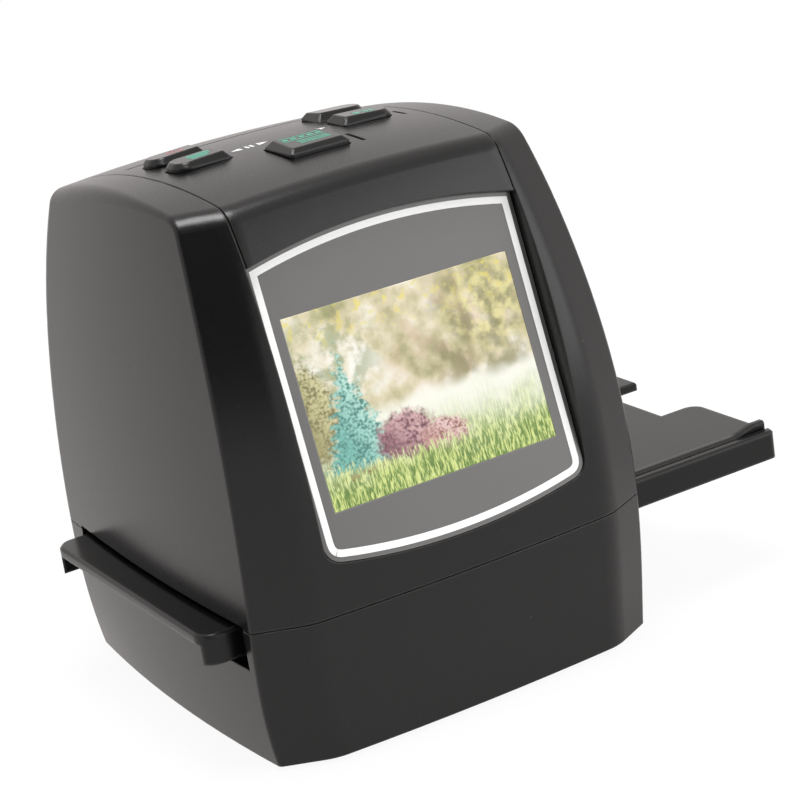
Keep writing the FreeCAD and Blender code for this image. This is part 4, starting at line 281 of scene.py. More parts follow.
def plastic(name, code, pale_code, roughness, grain_size, grain_depth, edge=0.3, dusty=0.4,
            specular=0.36):
    """Moulded plastic with grain, soft edges and a little dust. Grain and edges are in mm."""
    material, tree, shader = blank_material(name)
    grained = use_group(tree, grain, Size=grain_size)
    edged = use_group(tree, edges, Radius=edge)
    specks = use_group(tree, dust, Amount=dusty)
    colour = blend_colours(tree, grained["Tone"], srgb(code), srgb(pale_code))
    # Near an edge the colour turns paler: partly wear, partly a painted highlight along the edge.
    edge_wear_and_highlight = calc(tree, "MULTIPLY", edged["Mask"], EDGE_WEAR_AND_HIGHLIGHT_SHARE)
    colour = blend_colours(tree, edge_wear_and_highlight, colour, EDGE_WEAR_AND_HIGHLIGHT_COLOUR)
    colour = blend_colours(tree, specks["Mask"], colour, DUST_COLOUR)
    wire(tree, colour, shader.inputs["Base Color"])
    rough = calc(tree, "MULTIPLY_ADD", grained["Height"], GRAIN_ROUGHER,
                 roughness - GRAIN_ROUGHER / 2)
    smoother = calc(tree, "MULTIPLY", edged["Mask"], WORN_SMOOTHER)
    wire(tree, calc(tree, "SUBTRACT", rough, smoother), shader.inputs["Roughness"])
    bump = add(tree, "ShaderNodeBump", Strength=grain_depth, Distance=GRAIN_HEIGHT)
    wire(tree, grained["Height"], bump.inputs["Height"])
    wire(tree, edged["Normal"], bump.inputs["Normal"])
    wire(tree, bump.outputs[0], shader.inputs["Normal"])
    shader.inputs["Specular IOR Level"].default_value = specular
    return material


# A wider edge radius also widens the paler band that is painted along the edges as a highlight.
casing_plastic = plastic("casing_plastic", "0e0e0e", "121212", roughness=0.26,
                         grain_size=0.32, grain_depth=0.35, edge=0.45)
button_plastic = plastic("button_plastic", "0b0b0b", "101010", roughness=0.17,
                         grain_size=0.30, grain_depth=0.06, edge=0.6)
tray_plastic = plastic("tray_plastic", "0a0a0a", "0f0f0f", roughness=0.20,
                       grain_size=0.30, grain_depth=0.10, edge=0.8, specular=0.30)
inner_plastic = plastic("inner_plastic", "121212", "181818", roughness=0.55,
                        grain_size=0.40, grain_depth=0.4, dusty=0.1)
jack_plastic = plastic("jack_plastic", "101010", "161616", roughness=0.5,
                       grain_size=0.30, grain_depth=0.3, dusty=0.1)
foot_rubber = plastic("foot_rubber", "1a1a1a", "242424", roughness=0.8,
                      grain_size=0.6, grain_depth=0.8, edge=0.4, dusty=0.8)
white_housing = plastic("white_housing", "dcdad4", "e8e6e0", roughness=0.6,
                        grain_size=0.4, grain_depth=0.2, dusty=0.0)
print("nodes in each plastic:", len(casing_plastic.node_tree.nodes))

# %% [markdown]
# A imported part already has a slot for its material, so dressing it is no more than putting the
# new material into that slot. Casing, buttons and tray are the same black plastic on the real
# object, but they come from different moulds and so differ in gloss.

# %% Which part wears which plastic
def dress(material, *names):
    """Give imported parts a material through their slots."""
    for name in names:
        part = parts[name]
        if not part.material_slots:
            part.data.materials.append(material)
        for slot in part.material_slots:
            slot.material = material
    print(material.name, "on", ", ".join(names))


dress(casing_plastic, "base_shell", "main_shell", "top_cover", "rear_panel")
dress(button_plastic, "power_button", "mode_button", "scan_button", "mirror_button",
      "play_button")
dress(tray_plastic, "film_tray", "film_carrier", "carrier_lid")
dress(inner_plastic, "tray_guide", "camera_plate", "camera_tower", "lens_barrel",
      "button_switches")
dress(jack_plastic, "video_jack")
dress(foot_rubber, "rubber_feet")
dress(white_housing, "lamp_house")

# %% [markdown]
# The pane round the display is a clear plate painted grey on its back, so it has a smooth gloss
# over a plain, faintly uneven paint. A coat layer gives that second, sharper reflection. Its rim
# is made paler, as a painted highlight along the bevelled edge.

# %% Window lacquer
window_lacquer, tree, shader = blank_material("window_lacquer")
grained = use_group(tree, grain, Size=1.2)
edged = use_group(tree, edges, Radius=0.35)
specks = use_group(tree, dust, Amount=0.5, Spacing=9.0)
paint = blend_colours(tree, grained["Tone"], srgb("454443"), srgb("4c4b4a"))
# A painted highlight: the colour turns pale grey along the pane's edges.
paint = blend_colours(tree, edged["Mask"], paint, srgb("8d8c8a"))
paint = blend_colours(tree, specks["Mask"], paint, srgb("c8c4bd"))
wire(tree, paint, shader.inputs["Base Color"])
drift_roughness(tree, shader, grained["Height"], share=0.04, least=0.28)
wire(tree, edged["Normal"], shader.inputs["Normal"])
shader.inputs["Coat Weight"].default_value = 0.4
shader.inputs["Coat Roughness"].default_value = 0.06
dress(window_lacquer, "display_window")

# %% [markdown]
# The prints are ink: matt, a touch raised and slightly uneven. White ink makes the line round
# the window and the marks on the cover, and teal and red ink make the marks on the buttons.

# %% Inks
INK_DARKER = 0.86
INK_BLOTCHES = 0.7


def ink(name, code):
    """Printed ink, a little uneven."""
    material, tree, shader = blank_material(name)
    grained = use_group(tree, grain, Size=0.5)
    full = srgb(code)
    darker = tuple(INK_DARKER * v for v in full[:3]) + (1.0,)
    blotches = calc(tree, "MULTIPLY", grained["Tone"], INK_BLOTCHES)
    wire(tree, blend_colours(tree, blotches, full, darker), shader.inputs["Base Color"])
    drift_roughness(tree, shader, grained["Height"], share=0.15, least=0.4)
    return material


white_ink = ink("white_ink", "fbfbf9")
teal_ink = ink("teal_ink", "4f9c86")
red_ink = ink("red_ink", "b5686c")
print("inks:", [material.name for material in (white_ink, teal_ink, red_ink)])

# %% [markdown]
# Metal, boards, chips, lenses and cables are inside the casing, but they show through the
# openings and when the part is taken apart, so each gets its own finish too. The metals come
# first: noise that is stretched by another amount on each axis makes streaks.

# %% Metals
def metal(name, code, roughness, streaks):
    """Sheet metal with fine rolling streaks, so many to the metre on each axis."""
    material, tree, shader = blank_material(name)
    stretch = placed(tree, "ShaderNodeMapping", Scale=streaks)
    lines = placed(tree, "ShaderNodeTexNoise", stretch.outputs[0], Scale=1.0, Detail=3.0)
    drift_colour(tree, shader, lines.outputs["Fac"], code, "d8d8d6")
    drift_roughness(tree, shader, lines.outputs["Fac"], share=0.15, least=roughness)
    shader.inputs["Metallic"].default_value = 1.0
    return material


socket_metal = metal("socket_metal", "a5a5a3", 0.22, streaks=(300.0, 300.0, 4000.0))
screw_metal = metal("screw_metal", "8f8f92", 0.3, streaks=(2500.0, 2500.0, 2500.0))
spring_metal = metal("spring_metal", "b5b5b0", 0.18, streaks=(300.0, 4000.0, 4000.0))
dress(socket_metal, "usb_socket", "card_socket", "display_frame")
dress(screw_metal, "base_screws", "plate_screws", "board_screws", "display_screws",
      "cover_screws")
dress(spring_metal, "detent_springs", "hinge_pin")

# %% [markdown]
# The boards' tracks are too thin to be worth a mesh. A Brick texture draws them, and the middles
# of Voronoi cells are the gilded pads.

# %% Boards
PAD_RIM, PAD_CORE = 0.22, 0.18

board_lacquer, tree, shader = blank_material("board_lacquer")
tracks = placed(tree, "ShaderNodeTexBrick", Scale=1.0, Mortar_Size=0.0002, Brick_Width=0.006,
                Row_Height=0.0011, Color1=srgb("0d4a2a"), Color2=srgb("125532"),
                Mortar=srgb("2a7a4c"))
pads = placed(tree, "ShaderNodeTexVoronoi", Scale=420.0)
dots = soft_step(tree, pads.outputs["Distance"], PAD_RIM, PAD_CORE)
wire(tree, blend_colours(tree, dots, tracks.outputs["Color"], srgb("b9a25a")),
     shader.inputs["Base Color"])
drift_roughness(tree, shader, dots, share=-0.1, least=0.35)
dress(board_lacquer, "main_board", "lamp_board", "sensor_board", "display_board",
      "button_board")

# %% [markdown]
# Chips are cast in dark resin, which is a little grainy. The diffuser and the display's
# backlight are milky sheets, so a little light goes into them and comes out again.

# %% Chips and milky sheets
chip_resin, tree, shader = blank_material("chip_resin")
grained = use_group(tree, grain, Size=0.2)
drift_colour(tree, shader, grained["Height"], "17181a", "26272a")
drift_roughness(tree, shader, grained["Height"], share=0.2, least=0.5)
dress(chip_resin, "image_processor", "memory_chips", "image_sensor")

milky_sheet, tree, shader = blank_material("milky_sheet")
grained = use_group(tree, grain, Size=2.0)
drift_colour(tree, shader, grained["Tone"], "e9e8e2", "f4f3ee")
drift_roughness(tree, shader, grained["Height"], share=0.1, least=0.45)
shader.inputs["Subsurface Weight"].default_value = 0.2
dress(milky_sheet, "light_diffuser", "display_backlight")

# %% [markdown]
# The lamps have a yellow phosphor, which makes their light white. The lenses are plain glass with
# a faint coating, and the flat cables show their wires as fine stripes.

# %% Phosphor, lenses and cables
lamp_phosphor, tree, shader = blank_material("lamp_phosphor")
spots = placed(tree, "ShaderNodeTexNoise", Scale=900.0)
drift_colour(tree, shader, spots.outputs["Fac"], "f2dc5c", "fbf3b0")
dress(lamp_phosphor, "lamps")

lens_glass, tree, shader = blank_material("lens_glass")
tint = placed(tree, "ShaderNodeTexNoise", Scale=60.0)
drift_colour(tree, shader, tint.outputs["Fac"], "cfe6ee", "e6ddf2")
shader.inputs["Roughness"].default_value = 0.02
shader.inputs["Transmission Weight"].default_value = 1.0
dress(lens_glass, "lenses")

cable_film, tree, shader = blank_material("cable_film")
wires = placed(tree, "ShaderNodeTexWave", Scale=1000.0, bands_direction="X")
drift_colour(tree, shader, wires.outputs["Fac"], "c9c7c0", "8e8b80")
shader.inputs["Roughness"].default_value = 0.4
dress(cable_film, "display_ribbon", "sensor_ribbon", "button_ribbon", "lamp_lead")

# %% [markdown]
# The window and its display lean back by about fifteen degrees. Everything printed on them is
# easier to think of in the window's own frame: X across, Z up the pane, Y into it. A Mapping
# node of the Texture kind undoes a move and a turn, so a pattern can be drawn in that frame.

# %% The window's own frame
WINDOW_TILT = math.radians(14.74)
WINDOW_MIDDLE_Y = -0.04018
WINDOW_MIDDLE_Z = 0.06551
PICTURE_HALF_WIDTH = 0.0245
PICTURE_HALF_HEIGHT = 0.01835

pane_low, pane_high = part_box("display_window")
window_middle = Vector(((pane_low.x + pane_high.x) / 2, WINDOW_MIDDLE_Y, WINDOW_MIDDLE_Z))
window_place = Matrix.Translation(window_middle) @ Matrix.Rotation(-WINDOW_TILT, 4, "X")
print("window middle in mm:", in_mm(window_middle))

# %% [markdown]
# The display shows a sunny meadow in front of woods that are out of focus. It is drawn by nodes
# alone: every shape is a sum of coordinates that is nought at its outline, and a soft step turns
# it into a mask. In the picture's own coordinates the middle is nought and the sides are at one.
# The picture glows, because a display lights itself.

# %% Coordinates on the display
PICTURE_SHAPE = 1.33

picture, tree, shader = blank_material("display_picture")
onto_pane = placed(tree, "ShaderNodeMapping", vector_type="TEXTURE", Location=window_middle,
                   Rotation=(-WINDOW_TILT, 0.0, 0.0),
                   Scale=(PICTURE_HALF_WIDTH, 1.0, PICTURE_HALF_HEIGHT))
split = add(tree, "ShaderNodeSeparateXYZ")
wire(tree, onto_pane.outputs[0], split.inputs[0])
across = split.outputs["X"]
height = split.outputs["Z"]
flat = add(tree, "ShaderNodeCombineXYZ")
wire(tree, calc(tree, "MULTIPLY", across, PICTURE_SHAPE), flat.inputs["X"])
wire(tree, height, flat.inputs["Y"])
print("picture in mm:", in_mm((2 * PICTURE_HALF_WIDTH, 2 * PICTURE_HALF_HEIGHT)))

# %% [markdown]
# A few helpers draw with these coordinates. Noise gives leaves and light, and bands and soft
# ellipses give the places where something grows.

# %% Helpers for drawing the picture
def cloudy(scale, detail=2.0, stretch=(1.0, 1.0, 1.0), distortion=0.0):
    """Soft noise over the picture."""
    sized = placed(tree, "ShaderNodeMapping", flat.outputs[0], Scale=stretch)
    noise = placed(tree, "ShaderNodeTexNoise", sized.outputs[0], Scale=scale, Detail=detail,
                   Distortion=distortion)
    return noise.outputs["Fac"]


def offsets(x, y, half_x, half_y):
    """How far a point lies from a place, across and up, counted in two half sizes."""
    return [calc(tree, "DIVIDE", calc(tree, "SUBTRACT", value, middle), half)
            for value, middle, half in ((across, x, half_x), (height, y, half_y))]


def band(value, middle, half, soft):
    """One near a value, nought away from it."""
    away = calc(tree, "ABSOLUTE", calc(tree, "SUBTRACT", value, middle))
    return soft_step(tree, away, half + soft, half - soft)


def blob(x, y, half_x, half_y, soft, rough=0.0):
    """A soft ellipse, with a leafy outline if it is rough."""
    dx, dy = offsets(x, y, half_x, half_y)
    far = calc(tree, "SQRT", calc(tree, "ADD", calc(tree, "MULTIPLY", dx, dx),
                                  calc(tree, "MULTIPLY", dy, dy)))
    if rough:
        far = calc(tree, "MULTIPLY_ADD", cloudy(scale=15.0, detail=5.0), rough, far)
    rim = 1.0 + rough / 2
    return soft_step(tree, far, rim + soft, rim - soft)


def both(first, second):
    """Where two masks meet."""
    return calc(tree, "MULTIPLY", first, second)


def paint_over(under, mask, code, strength):
    """Lay a colour over the picture where a mask is one."""
    return blend_colours(tree, calc(tree, "MULTIPLY", mask, strength), under, srgb(code))


# %% [markdown]
# The far background goes in first, quite out of focus: pale cream light, grey-green and beige
# woods, a darker thicket on the right and yellow leaves along the top. Several sizes of noise
# laid over each other look like leaves in soft light, where one size looks like a cloud.

# %% Woods and light
WOOD_COLOURS = ((0.40, "9b9768"), (0.50, "c4bb90"), (0.60, "e3d8b8"))
LARGE_SHARE, SMALL_SHARE = 0.8, 0.55
SHADE_SHIFT = -0.10
DARKER_TO_RIGHT = -0.05

woods = add(tree, "ShaderNodeValToRGB")
darkest, palest = woods.color_ramp.elements
darkest.position = 0.28
darkest.color = srgb("6f7046")
palest.position = 0.74
palest.color = srgb("fdfaf0")
for position, code in WOOD_COLOURS:
    woods.color_ramp.elements.new(position).color = srgb(code)
shade = calc(tree, "MULTIPLY_ADD", cloudy(scale=1.4), LARGE_SHARE, SHADE_SHIFT)
shade = calc(tree, "MULTIPLY_ADD", cloudy(scale=4.6, detail=4.0), SMALL_SHARE, shade)
shade = calc(tree, "MULTIPLY_ADD", across, DARKER_TO_RIGHT, shade)
wire(tree, shade, woods.inputs["Fac"])
view = woods.outputs["Color"]
print("colours of the woods:", len(woods.color_ramp.elements))

# %% [markdown]
# Each patch in the woods is a soft ellipse, given by its middle, its half sizes and its
# softness, and broken up by noise, given by its scale, its detail and the two values between
# which it shows. A rosy glow, the thicket, a green tree and sunlit leaves are made that way.

# %% Patches in the woods
PATCHES = (
    ((0.30, 0.35, 0.5, 0.5, 0.5), (3.1, 2.0, 0.45, 0.62), "dcbca4", 0.5),
    ((0.62, 0.25, 0.45, 0.75, 0.45), (3.4, 3.0, 0.38, 0.6), "77763f", 0.7),
    ((-0.7, 0.5, 0.4, 0.5, 0.4), (5.0, 3.0, 0.42, 0.6), "869452", 0.65),
    ((0.72, 0.55, 0.35, 0.45, 0.5), (8.0, 4.0, 0.38, 0.68), "f4e9a4", 0.75),
)
for ellipse, (scale, detail, hidden, shown), code, strength in PATCHES:
    patch = both(blob(*ellipse), soft_step(tree, cloudy(scale, detail), hidden, shown))
    view = paint_over(view, patch, code, strength)
leaves = both(soft_step(tree, height, low=0.4, high=0.95),
              soft_step(tree, cloudy(scale=9.0, detail=4.0), low=0.52, high=0.66))
view = paint_over(view, leaves, "ead95e", strength=0.7)
trunk = both(band(across, middle=0.48, half=0.03, soft=0.03),
             soft_step(tree, height, low=-0.3, high=-0.1))
view = paint_over(view, trunk, "8f7f58", strength=0.4)
print("patches in the woods:", len(PATCHES))

# %% [markdown]
# The meadow covers the lower part. It is nearly white with sun where it meets the woods and
# gets greener towards the viewer. Long thin noise makes the blades of grass.

# %% Meadow
COARSE_BLADES = (8.0, 1.6, 1.0)
FINE_BLADES = (6.0, 1.4, 1.0)
COARSE_SHARE, FINE_SHARE = 0.6, 0.4
GRASS_TOP, GRASS_SWING = -0.26, 0.18
HAZE_SWING = 0.5

edge_of_grass = calc(tree, "MULTIPLY_ADD", cloudy(scale=2.2), GRASS_SWING, GRASS_TOP)
over_edge = calc(tree, "SUBTRACT", height, edge_of_grass)
grass_mask = soft_step(tree, over_edge, low=0.12, high=-0.06)
blades = cloudy(scale=4.0, detail=4.0, stretch=COARSE_BLADES, distortion=0.9)
fine_blades = cloudy(scale=9.0, detail=3.0, stretch=FINE_BLADES, distortion=0.5)
mown = calc(tree, "MULTIPLY_ADD", blades, COARSE_SHARE,
            calc(tree, "MULTIPLY", fine_blades, FINE_SHARE))
grass = blend_colours(tree, soft_step(tree, mown, low=0.38, high=0.62),
                      srgb("7a9a35"), srgb("d8e48a"))
haze_height = calc(tree, "MULTIPLY_ADD", cloudy(scale=3.0), HAZE_SWING, height)
haze = soft_step(tree, haze_height, low=-0.62, high=0.1)
grass = paint_over(grass, haze, "fbfaee", strength=0.95)
near_grass = both(soft_step(tree, height, low=-0.45, high=-0.95),
                  soft_step(tree, mown, low=0.56, high=0.42))
grass = paint_over(grass, near_grass, "4d7322", strength=0.75)
view = blend_colours(tree, grass_mask, view, grass)
print("nodes so far:", len(tree.nodes))

# %% [markdown]
# On the left stand a pale bush, a blue-green fir, a mauve bush and a small rose-coloured one.
# Each is a soft mask with a ragged outline, filled with two sizes of noise and lit from the
# upper right, so that it looks like foliage and not like a cut-out.

# %% Helpers for fir and bushes
LIT_FROM, LIT_TO = -1.1, 1.1
BOUGH_STRETCH = (1.0, 1.8, 1.0)
BOUGH_DEPTH = 1.3
BOUGH_OUT, BOUGH_IN = 0.78, 0.50
FIR_FOOT_SOFT = 0.05
SMALL_LEAF_SHARE, LARGE_LEAF_SHARE = 0.6, 0.4
LARGE_LEAF_SCALE_SHARE = 1 / 4


def lit_side(x, y, half_x, half_y):
    """One on the upper right of a place, nought on its lower left."""
    dx, dy = offsets(x, y, half_x, half_y)
    return soft_step(tree, calc(tree, "ADD", dx, dy), LIT_FROM, LIT_TO)


def fir_mask(x, low, half_x, tall):
    """A cone with ragged boughs."""
    slant = calc(tree, "ABSOLUTE", calc(tree, "SUBTRACT", across, x))
    slant = calc(tree, "MULTIPLY_ADD", slant, tall / half_x, calc(tree, "SUBTRACT", height, low))
    boughs = cloudy(scale=11.0, detail=5.0, stretch=BOUGH_STRETCH)
    slant = calc(tree, "MULTIPLY_ADD", boughs, BOUGH_DEPTH, slant)
    return both(soft_step(tree, slant, tall + BOUGH_OUT, tall + BOUGH_IN),
                soft_step(tree, height, low - FIR_FOOT_SOFT, low + FIR_FOOT_SOFT))


def foliage(under, mask, light_side, codes, scale):
    """Lay leaves over the picture: dark gaps, plain leaves and sunlit ones."""
    dark, middle, light = codes
    large_leaf = calc(tree, "MULTIPLY", cloudy(scale * LARGE_LEAF_SCALE_SHARE),
                      LARGE_LEAF_SHARE)
    leaf = calc(tree, "MULTIPLY_ADD", cloudy(scale, detail=4.0), SMALL_LEAF_SHARE, large_leaf)
    colour = blend_colours(tree, soft_step(tree, leaf, low=0.36, high=0.60),
                           srgb(dark), srgb(middle))
    sunny = both(soft_step(tree, leaf, low=0.38, high=0.62), light_side)
    colour = blend_colours(tree, sunny, colour, srgb(light))
    return blend_colours(tree, mask, under, colour)


# %% [markdown]
# A plant is a kind of outline with its numbers, the middle and half sizes of its lit side, its
# three colours and the scale of its leaves. They are painted from the left to the right.

# %% Fir and bushes
PLANTS = (
    (blob, (-0.98, -0.02, 0.22, 0.5, 0.2, 0.7), (-0.93, -0.12, 0.16, 0.42),
     ("7d7848", "a39c68", "cfc896"), 30.0),
    (fir_mask, (-0.64, -0.66, 0.30, 1.15), (-0.64, -0.2, 0.2, 0.6),
     ("3f7c72", "76bcae", "bfe8da"), 30.0),
    (blob, (-0.24, -0.50, 0.26, 0.26, 0.2, 0.8), (-0.24, -0.50, 0.22, 0.26),
     ("6d404a", "a06e78", "dcb4b2"), 26.0),
    (blob, (0.08, -0.60, 0.2, 0.17, 0.2, 0.8), (0.08, -0.60, 0.18, 0.17),
     ("96665a", "cc9a96", "efd0cc"), 34.0),
)
for outline, shape, sunny_side, codes, leaf_scale in PLANTS:
    view = foliage(view, outline(*shape), lit_side(*sunny_side), codes, leaf_scale)
print("plants:", len(PLANTS))

# %% [markdown]
# A fallen log lies before the plants, and tall grass before it covers most of it. Then the
# picture is finished and goes to the display as its own light.

# %% Log, tall grass and glow
LOG_SLOPE = -0.12
BARK_STRETCH = (1.2, 9.0, 1.0)
BLADE_REACH = -0.75

along_log = calc(tree, "MULTIPLY_ADD", across, LOG_SLOPE, height)
log = both(band(along_log, middle=-0.72, half=0.10, soft=0.03),
           soft_step(tree, across, low=-0.42, high=-0.48))
bark = cloudy(scale=6.0, detail=4.0, stretch=BARK_STRETCH, distortion=0.6)
log_colour = blend_colours(tree, soft_step(tree, bark, low=0.36, high=0.62),
                           srgb("7a4f2c"), srgb("d6a66c"))
view = blend_colours(tree, log, view, log_colour)
blade_tips = calc(tree, "MULTIPLY_ADD", mown, BLADE_REACH, height)
tall_grass = soft_step(tree, blade_tips, low=-0.98, high=-1.10)
view = blend_colours(tree, tall_grass, view, grass)
wire(tree, view, shader.inputs["Emission Color"])
shader.inputs["Emission Strength"].default_value = 0.98
drift_roughness(tree, shader, cloudy(scale=30.0), share=0.04, least=0.1)
drift_colour(tree, shader, cloudy(scale=3.0), "0a0b0d", "101214")
shader.inputs["Specular IOR Level"].default_value = 0.3
dress(picture, "display_screen")
print("nodes in the picture:", len(tree.nodes))

# %% [markdown]
# A print could be part of the plastic's material, but as a mesh of its own it stays sharp from
# near by. Each is made flat, laid on its part, thickened by the height of its ink and left to
# ride on the body that carries it.

# %% Helpers for making pieces
MERGE_DISTANCE = 0.000002


def only(piece):
    """Select one piece and nothing else."""
    bpy.ops.object.select_all(action="DESELECT")
    piece.select_set(True)
    bpy.context.view_layer.objects.active = piece
    return piece


def edit(piece, kind="FACE"):
    """Go into edit mode on one piece, to work on its faces or its edges."""
    only(piece)
    bpy.ops.object.mode_set(mode="EDIT")
    bpy.ops.mesh.select_mode(type=kind)


def done():
    """Leave edit mode."""
    bpy.ops.object.mode_set(mode="OBJECT")


def select_nothing(piece):
    """Leave no vertex, edge or face of a piece selected."""
    edit(piece)
    bpy.ops.mesh.select_all(action="DESELECT")
    done()


def pick(piece, kind, test):
    """Select a piece's edges or faces that pass a test, from object mode."""
    items = getattr(piece.data, kind)
    for item in items:
        item.select = test(item)
    print(piece.name, "picked", sum(item.select for item in items), kind)


def thicken(way):
    """Extrude the open mesh by a move, turn its faces outwards and leave edit mode."""
    bpy.ops.mesh.select_all(action="SELECT")
    bpy.ops.mesh.extrude_region_move(TRANSFORM_OT_translate={"value": way})
    bpy.ops.mesh.select_all(action="SELECT")
    bpy.ops.mesh.normals_make_consistent(inside=False)
    done()


def settle(piece, material, body, turn=None):
    """Put a finished piece at the origin, give it its finish and let it ride on a body."""
    if turn is not None:
        piece.data.transform(turn)
    only(piece)
    bpy.ops.object.transform_apply(location=True, rotation=True, scale=True)
    piece.data.materials.clear()
    piece.data.materials.append(material)
    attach(piece, body)


def copy_of(name, new_name):
    """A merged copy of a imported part, as a piece of its own with nothing selected."""
    piece = parts[name].copy()
    piece.data = parts[name].data.copy()
    piece.name = piece.data.name = new_name
    for key in list(piece.keys()):
        del piece[key]
    bpy.context.scene.collection.objects.link(piece)
    piece.parent = None
    edit(piece)
    bpy.ops.mesh.select_all(action="SELECT")
    bpy.ops.mesh.remove_doubles(threshold=MERGE_DISTANCE)
    done()
    select_nothing(piece)
    return piece


# %% [markdown]
# The white line follows the pane's outline just inside it. The pane's own front face is
# the best pattern for it. A copy of the pane is merged and moved into the window's own frame, all
# but its front face is thrown away, and its rim is selected.

# %% The pane's front face
TOUCHING = 0.0001
FACES_VIEWER = -0.99

line = copy_of("display_window", "window_line")
line.data.transform(window_place.inverted())
pick(line, "polygons",
     lambda face: face.normal.y < FACES_VIEWER and abs(face.center.y) < TOUCHING)
edit(line)
bpy.ops.mesh.select_all(action="INVERT")
bpy.ops.mesh.delete(type="FACE")
bpy.ops.mesh.select_mode(type="EDGE")
bpy.ops.mesh.select_all(action="SELECT")
bpy.ops.mesh.region_to_loop()
done()

# %% [markdown]
# The rim has an inner loop round the picture and an outer one. The inner loop is filled, and
# everything is dissolved into one face. That face is inset twice: what lies between the two
# insets is the line, and a thin extrusion gives the ink its body.

# %% White line round the window
LINE_INSET = 0.00088
LINE_WIDTH = 0.00135
LINE_HEIGHT = 0.00006

pick(line, "edges", lambda edge: edge.select and all(
    abs(line.data.vertices[v].co.x) < PICTURE_HALF_WIDTH + TOUCHING
    and abs(line.data.vertices[v].co.z) < PICTURE_HALF_HEIGHT + TOUCHING
    for v in edge.vertices))
edit(line, "EDGE")
bpy.ops.mesh.edge_face_add()
bpy.ops.mesh.select_mode(type="FACE")
bpy.ops.mesh.select_all(action="SELECT")
bpy.ops.mesh.dissolve_faces()
bpy.ops.mesh.select_all(action="SELECT")
bpy.ops.mesh.inset(thickness=LINE_INSET, use_even_offset=True)
bpy.ops.mesh.select_all(action="INVERT")
bpy.ops.mesh.delete(type="FACE")
bpy.ops.mesh.select_all(action="SELECT")
bpy.ops.mesh.inset(thickness=LINE_WIDTH, use_even_offset=True)
bpy.ops.mesh.delete(type="FACE")
thicken((0.0, -LINE_HEIGHT, 0.0))
settle(line, white_ink, "casing", window_place)
print("line faces:", len(line.data.polygons))

# %% [markdown]
# The prints on the caps and on the cover are small plain shapes: blocks, rings and arrows. Each
# starts as a flat face above its place. The triangle of an arrow comes from a circle of three
# corners. With a radius of one it is 1.5 long and about 1.732 wide, so it's scaled from that.

# %% Flat shapes for the marks
ABOVE_PART = 0.12
CORNER_SEGMENTS = 3
RING_CORNERS = 40
TRIANGLE_LENGTH, TRIANGLE_WIDTH = 1.5, 1.732


def flat_block(x, y, length, width, corner):
    """A flat rectangle with small round corners, sizes in mm."""
    bpy.ops.mesh.primitive_plane_add(size=1.0, location=(x * MM, y * MM, ABOVE_PART))
    piece = bpy.context.object
    piece.scale = (length * MM, width * MM, 1.0)
    bpy.ops.object.transform_apply(location=True, rotation=True, scale=True)
    bpy.ops.object.mode_set(mode="EDIT")
    bpy.ops.mesh.select_all(action="SELECT")
    bpy.ops.mesh.bevel(offset=corner * MM, segments=CORNER_SEGMENTS, affect="VERTICES")
    done()
    return piece


def open_ring(x, y, radius, width, half_gap):
    """A flat ring with a gap in its far side, sizes in mm."""
    bpy.ops.mesh.primitive_circle_add(vertices=RING_CORNERS, radius=radius * MM,
                                      fill_type="NGON", location=(x * MM, y * MM, ABOVE_PART))
    piece = bpy.context.object
    bpy.ops.object.transform_apply(location=True, rotation=True, scale=True)
    bpy.ops.object.mode_set(mode="EDIT")
    bpy.ops.mesh.select_all(action="SELECT")
    bpy.ops.mesh.inset(thickness=width * MM)
    bpy.ops.mesh.delete(type="FACE")
    done()
    select_nothing(piece)
    pick(piece, "polygons", lambda face: face.center.y > y * MM
         and abs(face.center.x - x * MM) < half_gap * MM)
    edit(piece)
    bpy.ops.mesh.delete(type="FACE")
    done()
    return piece


def flat_arrow(x, y, length, width, turn):
    """A flat triangle that points along +X before it is turned, sizes in mm."""
    bpy.ops.mesh.primitive_circle_add(vertices=3, radius=1.0, fill_type="NGON",
                                      location=(x * MM, y * MM, ABOVE_PART),
                                      rotation=(0.0, 0.0, math.radians(-90.0)))
    piece = bpy.context.object
    bpy.ops.object.transform_apply(location=False, rotation=True, scale=True)
    piece.scale = (length * MM / TRIANGLE_LENGTH, width * MM / TRIANGLE_WIDTH, 1.0)
    bpy.ops.object.transform_apply(location=False, rotation=False, scale=True)
    piece.rotation_euler.z = math.radians(turn)
    bpy.ops.object.transform_apply(location=True, rotation=True, scale=True)
    return piece


# %% [markdown]
# When a mark has all its shapes they are joined, laid onto what carries them with a Shrinkwrap
# that projects straight down, and extruded by the thickness of the ink. They sink in by a
# hundredth of a millimetre, so that no gap shows under them.

# %% Laying a mark on its part
INK_SINK = 0.00001
MARK_HEIGHT = 0.00004


def cap_middle(button):
    """The middle of a button's cap, in mm."""
    low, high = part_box(button)
    return (low.x + high.x) / (2 * MM), (low.y + high.y) / (2 * MM)


def print_mark(name, shapes, material, carrier, body):
    """Join flat shapes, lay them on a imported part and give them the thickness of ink."""
    bpy.ops.object.select_all(action="DESELECT")
    for shape in shapes:
        shape.select_set(True)
    bpy.context.view_layer.objects.active = shapes[0]
    if len(shapes) > 1:
        bpy.ops.object.join()
    mark = only(shapes[0])
    mark.name = mark.data.name = name
    laid = mark.modifiers.new("laid", "SHRINKWRAP")
    laid.target = parts[carrier]
    laid.wrap_method = "PROJECT"
    laid.use_project_z = True
    laid.use_negative_direction = True
    laid.use_positive_direction = False
    laid.offset = -INK_SINK
    bpy.ops.object.modifier_apply(modifier="laid")
    bpy.ops.object.mode_set(mode="EDIT")
    thicken((0.0, 0.0, MARK_HEIGHT))
    settle(mark, material, body)
    levels = [v.co.z for v in mark.data.vertices]
    print(name, "faces:", len(mark.data.polygons), "height in mm:",
          *in_mm((min(levels), max(levels))))


